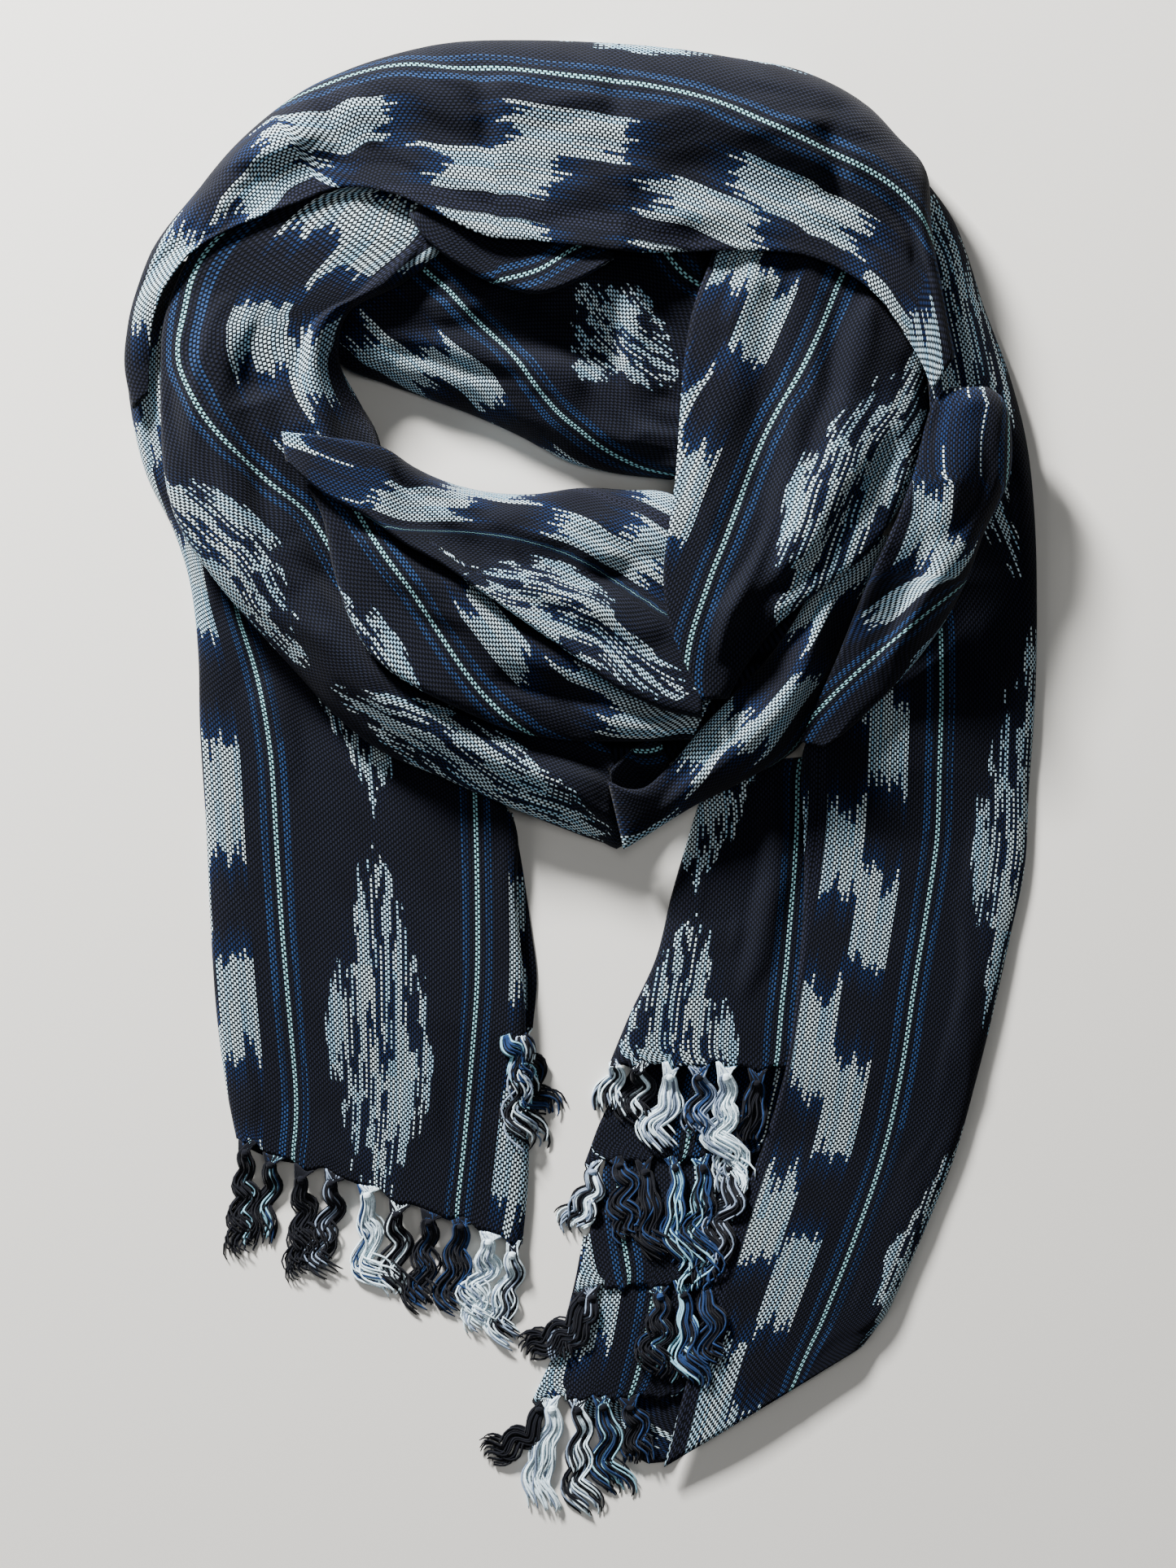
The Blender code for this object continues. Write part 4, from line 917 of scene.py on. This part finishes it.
def ikat_cotton(name):
    """Plain-weave cotton with its dye in the yarn: matt, slightly hairy, so a faint sheen and a
    bump of one dash for each crossing of the threads."""
    material, tree, shader = finish_of(name, {
        "Roughness": 0.86, "IOR": 1.5, "Specular IOR Level": 0.08,
        "Sheen Weight": 0.03, "Sheen Roughness": 0.5,
    })
    place = add(tree, "ShaderNodeUVMap", uv_map="cloth")
    in_mm = add(tree, "ShaderNodeVectorMath", {0: place, "Scale": 1 / MM}, operation="SCALE")
    weave = add(tree, "ShaderNodeUVMap", uv_map="weave")
    laid, v = [Wire(tree, add(tree, "ShaderNodeSeparateXYZ", (in_mm,), k)) for k in (0, 1)]
    along = Wire(tree, add(tree, "ShaderNodeSeparateXYZ", (weave,), 1))
    u = laid.away(TURN) + TURN
    thread = (u / THREAD).math("FLOOR")
    white, blue, of_thread = ikat_chart(u, v, thread)
    from_stripe = u.away(*STRIPES)
    dash = dashes(u, thread, along)

    def mix(share, first, second):
        """first where share is 0, second where it is 1, each a colour's code or a wire."""
        first, second = [linear(c) if isinstance(c, str) else c for c in (first, second)]
        fills = {0: getattr(share, "socket", share), 6: first, 7: second}
        return add(tree, "ShaderNodeMix", fills, 2, data_type="RGBA")

    tone = add(tree, "ShaderNodeTexNoise", {"Vector": place, "Scale": 38.0, "Detail": 2.0})
    colour = mix(blue, mix(tone, "#0a0c18", "#1d2131"), "#122b57")
    colour = mix(white, colour, mix(of_thread, "#e6f9ff", "#9accea"))
    line = from_stripe.away(4.5 * THREAD) < 1.5 * THREAD
    colour = mix(line, colour, mix(of_thread, "#101a30", "#23406c"))
    colour = mix(from_stripe < THREAD, colour, "#92cdd6")
    colour = mix(u.away(*SELVAGES) < SELVAGE_HALF, colour, "#1e2132")
    tree.links.new(mix(dash, "#020306", colour), shader.inputs["Base Color"])
    bump = add(tree, "ShaderNodeBump", {"Strength": 0.6, "Distance": 0.0004, "Height": dash.socket})
    tree.links.new(bump, shader.inputs["Normal"])
    print(name, "has", len(tree.nodes), "nodes")
    return material


cotton = ikat_cotton("handloom ikat cotton")

# %% [markdown]
# ## Laying the cloth
# Each stretch is one sheet: its grid becomes a mesh, and Solidify gives it the cloth's thickness,
# inwards. The pieces could be joined, since the real cloth is one, but kept apart each can be
# looked at and mended alone.


def placed(name, data):
    """A new object with this data, in the scene."""
    thing = bpy.data.objects.new(name, data)
    bpy.context.scene.collection.objects.link(thing)
    return thing


def facing_up(points):
    """True where faces listed ahead then across look up."""
    i, j = points.shape[0] // 2, points.shape[1] // 2
    ahead, beside = points[i + 1, j] - points[i, j], points[i, j + 1] - points[i, j]
    return ahead[0] * beside[1] - ahead[1] * beside[0] > 0


def surface(name, points, uv, flip):
    """A mesh object of a grid: corners (i, j), (i + 1, j), (i + 1, j + 1), (i, j + 1) make each
    quad."""
    index = np.arange(points.shape[0] * points.shape[1]).reshape(points.shape[:2])
    corners = [index[:-1, :-1], index[1:, :-1], index[1:, 1:], index[:-1, 1:]]
    quads = np.stack(corners, axis=-1).reshape(-1, 4)
    if flip:
        quads = quads[:, ::-1]
    mesh = bpy.data.meshes.new(name)
    mesh.vertices.add(index.size)
    mesh.vertices.foreach_set("co", (points.reshape(-1) * MM).astype(np.float32))
    mesh.loops.add(quads.size)
    mesh.loops.foreach_set("vertex_index", quads.ravel())
    mesh.polygons.add(len(quads))
    mesh.polygons.foreach_set("loop_start", np.arange(0, quads.size, 4))
    mesh.update(calc_edges=True)
    corners = uv.reshape(-1, 3)[quads.ravel()].astype(np.float32)
    mesh.uv_layers.new(name="cloth").data.foreach_set("uv", corners[:, :2].ravel())
    mesh.uv_layers.new(name="weave").data.foreach_set("uv", corners[:, ::2].ravel())
    mesh.shade_smooth()
    return placed(name, mesh)


HEM_ROWS = 8
# how far in mm, radians across the hem, radians at its start
PULLS = ((1.5, 61, 0), (1.2, 23, 1), (0.7, 97, 0))


def pulled_hem(points):
    """The knots pull at the last weft: three sines across, one wave for each knot, a slower one and
    a quicker one, shift the hem along the warp, and the shift fades out as a square over eight
    rows."""
    across = np.linspace(0, 1, points.shape[1])
    pull = sum(size * np.sin(rate * across + start) for size, rate, start in PULLS)
    fade = np.clip(1 - np.arange(len(points)) / HEM_ROWS, 0, 1) ** 2
    out = (points[0] - points[HEM_ROWS]).mean(axis=0) * (1, 1, 0)
    return points + fade[:, None, None] * pull[None, :, None] * out / np.linalg.norm(out)


def core_ring(name):
    """The hidden layers as one ring: a profile with a round bulge for each layer's edge, carried
    along the closed table. The bulge is a half sine of the layer's thickness."""
    table, run = read_table(CORE_SECTIONS, 4.0, closed=True)
    layer = np.linspace(0, 1, 37)
    bulge = 0.035 * np.abs(np.sin(layer * np.pi * LAYERS)) ** 0.6
    lean = 0.10 * layer**2
    over = np.linspace(0, 1, 18)[1:-1]
    near, far = 0.035 + lean - bulge, 0.965 - lean + bulge
    share = np.concatenate([near, 0.135 + 0.73 * over, far[::-1]])
    level = np.concatenate([0.93 * layer, 0.93 + 0.07 * np.sin(np.pi * over), 0.93 * layer[::-1]])
    start, end = table[:, None, 0:2], table[:, None, 2:4]
    height = table[:, 4:5] * level[None]
    points = np.dstack([start + (end - start) * share[None, :, None], height])
    steps = np.linalg.norm(np.diff(points, axis=1), axis=2)
    unrolled = np.hstack([np.zeros((len(points), 1)), np.cumsum(steps, axis=1)])
    picks = np.broadcast_to(run[:, None], unrolled.shape)
    uv = np.dstack([72 + 0.1 * unrolled, picks, picks]) * MM
    once_round = run[1] * len(run) * MM
    closed = np.vstack([points, points[:1]])
    return closed, np.vstack([uv, uv[:1] + (0, once_round, once_round)])


def sew_ring(piece):
    """Joins the first and last rows of a ring, fills its flat underside, and turns the faces
    outward."""
    form = bmesh.new()
    form.from_mesh(piece.data)
    bmesh.ops.remove_doubles(form, verts=form.verts, dist=0.00001)
    open_edges = [edge for edge in form.edges if edge.is_boundary]
    bmesh.ops.bridge_loops(form, edges=open_edges)
    bmesh.ops.recalc_face_normals(form, faces=form.faces)
    form.to_mesh(piece.data)
    form.free()


LAYERS = 4
HEMMED = ("left_tail", "upper_end", "middle_end", "third_end", "lower_end")
core_points, core_uv = core_ring("hidden_layers")
add_to_pile(core_points)
cloth_pieces = {}
hems = {}
for name in STRETCHES:
    around = grown(pile)
    points, is_top, run = stretch_grid(name, around)
    points = laid(points, is_top, around)
    if name in HEMMED:
        points = pulled_hem(points)
    uv = cloth_uv(name, points, is_top, run)
    piece = surface(name + "_cloth", points, uv, not facing_up(points))
    piece.data.materials.append(cotton)
    wall = piece.modifiers.new("wall", "SOLIDIFY")
    wall.thickness = WALL * MM
    wall.offset = -1.0
    add_to_pile(points)
    cloth_pieces[name] = piece
    hems[name] = points[0, is_top]
    across = np.linalg.norm(np.diff(points, axis=1), axis=2).sum(axis=1)
    print(name, "width", across.min().round(), "-", across.max().round(), "length", run[-1].round())

# %% [markdown]
# ## The hidden layers
# Below the bands that show, four or five more layers of the same cloth lie in the loop. Only their
# edges can be seen, between the bands and from the side, as a stack of round folds. Modelling each
# layer would add much that nobody sees, so they share one ring with a bulge for each layer's edge.

# %% Make the ring of hidden layers
layers = surface("hidden_layers", core_points, core_uv, not facing_up(core_points))
sew_ring(layers)
layers.data.materials.append(cotton)
print("hidden layers:", len(layers.data.polygons), "faces")

# %% [markdown]
# ## Tassels
# At each end the warp is gathered into bundles of about fifteen two-ply yarns, each held by one
# knot just past the last weft. Below the knot the plies open and keep the waves that the weave gave
# them. Hair would be lost in an exported model, so each of the thirty plies is a thin tube along a
# path, and all the plies of one hem are computed as one array.

# %% Table of the tassels
# name of the fringe: root (share of the hem), heading in degrees from -Y towards +X, length in mm,
# sway in mm, bends, yarn colours
TASSELS = {
    "fringe_left": (
        (0.05, 14, 56, 3.0, 0.9, "nnnbntn"), (0.15, 4, 46, 2.5, 1.1, "nnnbnnt"),
        (0.25, 17, 52, 3.5, 0.8, "nnnnn"), (0.35, 6, 52, 4.5, 1.0, "nnnng"),
        (0.46, 24, 54, 4.5, 1.2, "wwwwgb"), (0.57, 10, 46, 2.5, 0.8, "nwnnn"),
        (0.67, 5, 48, 2.5, 0.9, "nnnbn"), (0.77, 6, 46, 3.0, 1.0, "nnbnn"),
        (0.87, -2, 48, 4.5, 1.2, "wwwwg"), (0.96, 4, 50, 4.0, 1.1, "wwngn"),
    ),
    "fringe_left_under": (
        (0.62, 42, 42, 3.0, 0.8, "bnt"), (0.92, 30, 46, 4.0, 1.1, "nbn"),
        (0.99, 6, 60, 3.5, 1.2, "nngwn"),
    ),
    "fringe_upper": (
        (0.04, -12, 26, 2.0, 0.8, "wgn"), (0.2, -4, 28, 2.5, 0.9, "nnw"),
        (0.36, -12, 40, 5.0, 1.1, "wwg"), (0.5, 4, 36, 3.0, 1.0, "nbg"),
        (0.63, 2, 62, 5.0, 1.6, "wwg"), (0.78, -14, 34, 3.0, 1.0, "nnb"),
    ),
    "fringe_middle": (
        (0.05, -24, 36, 3.0, 1.0, "gwgn"), (0.19, 14, 40, 3.0, 1.1, "nnnb"),
        (0.34, 10, 46, 4.0, 1.2, "nnbn"), (0.5, 2, 58, 4.0, 1.4, "nbbtn"),
        (0.66, -4, 66, 5.0, 1.6, "nnbnt"), (0.82, -12, 54, 4.0, 1.2, "nnng"),
    ),
    "fringe_third": (
        (0.03, -64, 46, 3.0, 0.9, "nnn"), (0.11, -44, 40, 3.0, 1.0, "nng"),
        (0.6, -4, 46, 3.5, 1.2, "bnnt"), (0.76, 4, 50, 4.0, 1.3, "nbnt"),
        (0.92, 10, 40, 3.0, 1.0, "nbn"),
    ),
    "fringe_lower": (
        (0.02, -66, 42, 3.0, 0.9, "nnn"), (0.12, -14, 54, 4.5, 1.3, "wwwgw"),
        (0.3, 4, 58, 4.0, 1.2, "nnwg"), (0.46, 12, 50, 4.0, 1.2, "nbtn"),
        (0.64, 22, 34, 3.0, 1.0, "nbn"),
    ),
}
YARN_COLOURS = {
    "w": "#dff3fc", "b": "#183158", "t": "#8fc8dc", "n": "#070912", "g": "#7f8fa6",
}
FRINGES = {
    "fringe_left": "left_tail", "fringe_left_under": "left_under_edge", "fringe_upper": "upper_end",
    "fringe_middle": "middle_end", "fringe_third": "third_end", "fringe_lower": "lower_end",
}
print("tassels:", sum(len(rows) for rows in TASSELS.values()))

# %% Paths of the yarns
YARNS = 30
RINGS = 34
GATHER = 4           # rings from the hem to the knot
KNOT_AT = 4.0        # mm past the hem
KNOT_RINGS = 9
HEM_HELD = 5.5       # mm of the hem on each side that a tassel gathers
YARN_RADIUS = 0.5
WAVE = 22.0          # mm
random = np.random.default_rng(17)


def spread_evenly(heights):
    """The heights under a path, evened over five rings so that a yarn bends over a step."""
    padded = np.pad(heights, ((0, 0), (2, 2)), mode="edge")
    return np.mean([padded[:, k : k + heights.shape[1]] for k in range(5)], axis=0)


def yarn_paths(hem, tassel):
    """Middle lines of one tassel's yarns, (yarns, rings, xyz). From its place in the hem each yarn
    runs to the knot, then along a line that turns from square to the hem to the tassel's heading.
    It sways as a sine with the tassel. The yarns lie side by side and keep the waves of the weave
    together: a sine every 16 to 28 mm that grows from the knot, shared but for a little slip that
    grows too."""
    share, heading, length, sway, bends, _ = tassel
    run = np.concatenate([[0], np.cumsum(np.linalg.norm(np.diff(hem, axis=0), axis=1))])
    root_run = np.clip(share * run[-1], 5, run[-1] - 5)
    spread = np.linspace(-HEM_HELD, HEM_HELD, YARNS)
    leaves = np.clip(root_run + spread, 0.5, run[-1] - 0.5)
    starts = np.column_stack([np.interp(leaves, run, c) for c in hem.T])
    root = np.array([np.interp(root_run, run, c) for c in hem.T])
    way = (hem[-1] - hem[0])[:2] / np.linalg.norm((hem[-1] - hem[0])[:2])
    out = np.array([way[1], -way[0]])
    out = out if out[1] < 0 else -out
    turn = math.radians(heading)
    aim = np.array([math.sin(turn), -math.cos(turn)])
    side = np.array([-aim[1], aim[0]])
    knot = root[:2] + out * KNOT_AT
    t = np.linspace(0, 1, RINGS - GATHER)
    forward = out * 0.6 * (1 - t)[:, None] + aim * (0.4 + 0.6 * t)[:, None]
    forward = forward / np.linalg.norm(forward, axis=1, keepdims=True)
    forward = forward * (length - KNOT_AT) / (len(t) - 1)
    spine = knot + np.vstack([[0, 0], np.cumsum(forward[:-1], axis=0)])
    spine = spine + side * (sway * np.sin(2 * np.pi * bends * t) * t**0.5)[:, None]
    order = np.arange(YARNS)[:, None]
    beside = (order * 11 % YARNS) / YARNS - 0.5
    phase = random.uniform(0, 2 * np.pi)
    wavelength = WAVE * random.uniform(0.75, 1.25)
    size = random.uniform(1.8, 3.3)
    fan = beside * random.uniform(10.0, 14.0) + random.normal(0, 0.25, (YARNS, 1))
    reach = random.uniform(0.84, 1.02, (YARNS, 1))
    slip = random.normal(0, 0.5, (YARNS, 1)) * t[None] + beside * 0.5
    stray = random.normal(0, 1.0, (YARNS, 1))
    own = 0.45 + 0.70 * t[None] ** 0.6
    turns = t[None] ** 1.1 * length / wavelength
    wave = size * np.minimum(t[None] * 3, 1) * np.sin(2 * np.pi * turns + phase + slip)
    loose = stray * 1.6 * np.maximum(t[None] - 0.65, 0) ** 1.5 * 4
    at = np.clip(t[None] * reach, 0, 1) * (len(t) - 1)
    along = np.stack([np.interp(at, np.arange(len(t)), c) for c in spine.T], axis=-1)
    middle = along + side * (wave + loose)[..., None]
    ahead = np.gradient(middle, axis=1)
    ahead = ahead / np.linalg.norm(ahead, axis=2, keepdims=True)
    beside_wave = 0.6 * np.stack([-ahead[..., 1], ahead[..., 0]], axis=-1) + 0.4 * side
    free = middle + beside_wave * (fan * own)[..., None]
    stack = order / YARNS
    level = 3.0 * stack * (1 - 0.45 * t[None]) + 0.6 * np.cos(2 * np.pi * turns + phase)
    into = np.linspace(0, 1, GATHER + 1)[:-1][None, :, None]
    at_knot = np.dstack([free[:, :1], np.full((YARNS, 1, 1), root[2] + 0.6)])
    gather = starts[:, None] * (1 - into) + at_knot * into
    ground = spread_evenly(grown(pile)[cells(free)])
    drop = np.clip(1 - t[None] * 3.0, 0, 1)
    floor = np.maximum(ground + YARN_RADIUS + 0.2, root[2] * drop)
    height = floor + np.maximum(level, 0) * np.clip(t[None] * 6, 0.3, 1)
    return np.concatenate([gather, np.dstack([free, height])], axis=1)


def tubes(paths, radius, sides=6):
    """Points round each path: at every ring, middle + radius x (cos a x sideways + sin a x up)."""
    ahead = np.gradient(paths, axis=1)
    ahead = ahead / np.linalg.norm(ahead, axis=2, keepdims=True)
    sideways = np.cross(ahead, (0.0, 0.0, 1.0))
    sideways = sideways / np.maximum(np.linalg.norm(sideways, axis=2, keepdims=True), 1e-6)
    up = np.cross(sideways, ahead)
    angle = np.linspace(0, 2 * np.pi, sides, endpoint=False)
    ring = np.cos(angle)[:, None] * sideways[:, :, None] + np.sin(angle)[:, None] * up[:, :, None]
    return paths[:, :, None] + ring * radius[:, :, None, None]


def tube_mesh(name, points, colours):
    """One mesh of many tubes: quads between rings, and a cap at each end."""
    count, rings, sides = points.shape[:3]
    index = np.arange(count * rings * sides).reshape(count, rings, sides)
    following = np.roll(index, -1, axis=2)
    corners = [index[:, :-1], index[:, 1:], following[:, 1:], following[:, :-1]]
    quads = np.stack(corners, axis=-1).reshape(-1, 4)
    caps = np.concatenate([index[:, 0], index[:, -1, ::-1]]).tolist()
    mesh = bpy.data.meshes.new(name)
    mesh.from_pydata((points.reshape(-1, 3) * MM).tolist(), [], quads.tolist() + caps)
    mesh.update()
    dye = mesh.attributes.new("dye", "FLOAT_COLOR", "POINT")
    painted = np.repeat(colours, rings * sides, axis=0).astype(np.float32)
    dye.data.foreach_set("color", painted.ravel())
    length = np.broadcast_to(np.linspace(0, 1, rings)[None, :, None], index.shape)
    twist = mesh.attributes.new("along", "FLOAT", "POINT")
    twist.data.foreach_set("value", length.astype(np.float32).ravel())
    mesh.shade_smooth()
    return placed(name, mesh)


def knot_of(path):
    """The knot's middle line and radius at each ring: three turns of yarn as a short fat tube round
    the gathered yarns, thickest half way."""
    middle = path[:, 3:7].mean(axis=0)
    ends = np.linspace(middle[0], middle[-1], KNOT_RINGS)
    fat = np.interp(
        np.linspace(0, 1, KNOT_RINGS), (0, 0.15, 0.5, 0.85, 1), (1.0, 2.1, 2.5, 2.1, 1.0)
    )
    at, rings = np.linspace(0, KNOT_RINGS - 1, RINGS), np.arange(KNOT_RINGS)
    line = np.stack([np.interp(at, rings, places) for places in ends.T], axis=-1)
    return line[None], np.interp(at, rings, fat)[None]


print("yarns in a tassel:", YARNS)

# %% [markdown]
# ## Yarn
# The loose ends are the same two-ply cotton, without the weave: dull, round and a little hairy.
# Each keeps the dye that it had in the cloth, so the colour is an attribute on every tube.

# %% The yarn's finish
def loose_yarn(name):
    """Soft two-ply cotton: matt, with a fine noise as a small bump and a small random change of
    tone.
    """
    material, tree, shader = finish_of(name, {
        "Roughness": 0.9, "Specular IOR Level": 0.15, "Sheen Weight": 0.05,
    })
    dye = add(tree, "ShaderNodeAttribute", attribute_name="dye")
    place = add(tree, "ShaderNodeTexCoord", output=3)
    fine = add(tree, "ShaderNodeTexNoise", {"Vector": place, "Scale": 900.0, "Detail": 2.0})
    shade = add(tree, "ShaderNodeMapRange", {0: fine, 1: 0.3, 2: 0.7, 3: 0.75, 4: 1.1})
    scaled = add(tree, "ShaderNodeVectorMath", {0: dye, "Scale": shade}, operation="SCALE")
    tree.links.new(scaled, shader.inputs["Base Color"])
    bump = add(tree, "ShaderNodeBump", {"Strength": 0.4, "Distance": 0.0002, "Height": fine})
    tree.links.new(bump, shader.inputs["Normal"])
    return material


yarn = loose_yarn("loose two-ply cotton yarn")

# %% Make the fringes
fringe_pieces = {}
for name, hem_of in FRINGES.items():
    hem = hems[hem_of]
    paths, radii, colours = [], [], []
    for tassel in TASSELS[name]:
        path = yarn_paths(hem, tassel)
        paths.append(path)
        taper = np.interp(np.linspace(0, 1, RINGS), (0, 0.95, 1), (1, 1, 0.5))
        radii.append(np.tile(YARN_RADIUS * taper, (YARNS, 1)))
        picks = random.integers(0, len(tassel[5]), YARNS)
        tone = random.uniform(0.75, 1.1, (YARNS, 1))
        dyes = np.array([linear(YARN_COLOURS[tassel[5][k]]) for k in picks])
        colours.append(dyes * np.hstack([tone, tone, tone, 1 + 0 * tone]))
        line, fat = knot_of(path)
        paths.append(line)
        radii.append(fat)
        colours.append(np.array([linear(YARN_COLOURS[tassel[5][0]])]))
    points = tubes(np.concatenate(paths), np.concatenate(radii))
    points[..., 2] = np.maximum(points[..., 2], 0.05)
    piece = tube_mesh(name + "_yarns", points, np.concatenate(colours))
    piece.data.materials.append(yarn)
    fringe_pieces[name] = piece
    print(name, "yarns:", len(points), "triangles:", len(points) * RINGS * 12)

# %% [markdown]
# ## Every piece rides in place of its part
# A piece stands for the solid of its stretch, and the part that it stands for is hidden.

# %% Ride and replace
stand_ins = [(piece, name, "ikat_cloth") for name, piece in cloth_pieces.items()]
stand_ins += [(piece, name, "yarn") for name, piece in fringe_pieces.items()]
stand_ins.append((layers, "hidden_core", "hidden_layers"))
for piece, node, slot in stand_ins:
    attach(piece, "root")
    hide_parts(node)
fringe_of = {hem: fringe_pieces[fringe] for fringe, hem in FRINGES.items()}
for name, piece in cloth_pieces.items():
    held = "folded" if name in ("left_tail", "right_tail", "right_fold") else "laid"
    going = [fringe_of[name]] if name in fringe_of else []

# %% [markdown]
# ## Floor, light and camera
# The photograph was taken from straight above, with the brightest light from the upper left. A
# plain pale floor and three soft lamps keep the cloth's own colours.

# %% Floor and light
def plain_floor():
    mesh = bpy.data.meshes.new("pale_floor")
    mesh.from_pydata([(-3, -3, 0), (3, -3, 0), (3, 3, 0), (-3, 3, 0)], [], [(0, 1, 2, 3)])
    floor = placed("pale_floor", mesh)
    paint = {"Base Color": linear("#dedbd4"), "Roughness": 0.8}
    mesh.materials.append(finish_of("matt pale paint", paint)[0])


def soft_light(name, place, power, size):
    """A square lamp that faces the origin."""
    light = bpy.data.lights.new(name, "AREA")
    light.energy = power
    light.size = size
    lamp = placed(name, light)
    lamp.location = place
    lamp.rotation_euler = (-lamp.location).to_track_quat("-Z", "Y").to_euler()


plain_floor()
soft_light("key_light", (-1.0, 1.7, 0.85), 245.0, 0.35)
soft_light("top_light", (0.3, 0.5, 2.6), 10.0, 1.0)
soft_light("fill_light", (-1.6, -1.0, 1.2), 10.0, 1.0)
world = bpy.data.worlds.new("studio")
world.use_nodes = True
world.node_tree.nodes["Background"].inputs["Color"].default_value = linear("#e9eef5")
world.node_tree.nodes["Background"].inputs["Strength"].default_value = 0.10
bpy.context.scene.world = world

# %% The camera, straight above
FRAME_HEIGHT = 0.7708      # m of the table that 1927 pixels show
FRAME_CENTRE = (0.0034, -0.0018)
DISTANCE = 2.0
lens = bpy.data.cameras.new("camera")
lens.sensor_fit = "VERTICAL"
lens.sensor_height = 24.0
lens.lens = 24.0 * (DISTANCE - 0.02) / FRAME_HEIGHT
camera = placed("camera", lens)
camera.location = (*FRAME_CENTRE, DISTANCE)
bpy.context.scene.camera = camera
print("lens", round(lens.lens, 1), "mm")
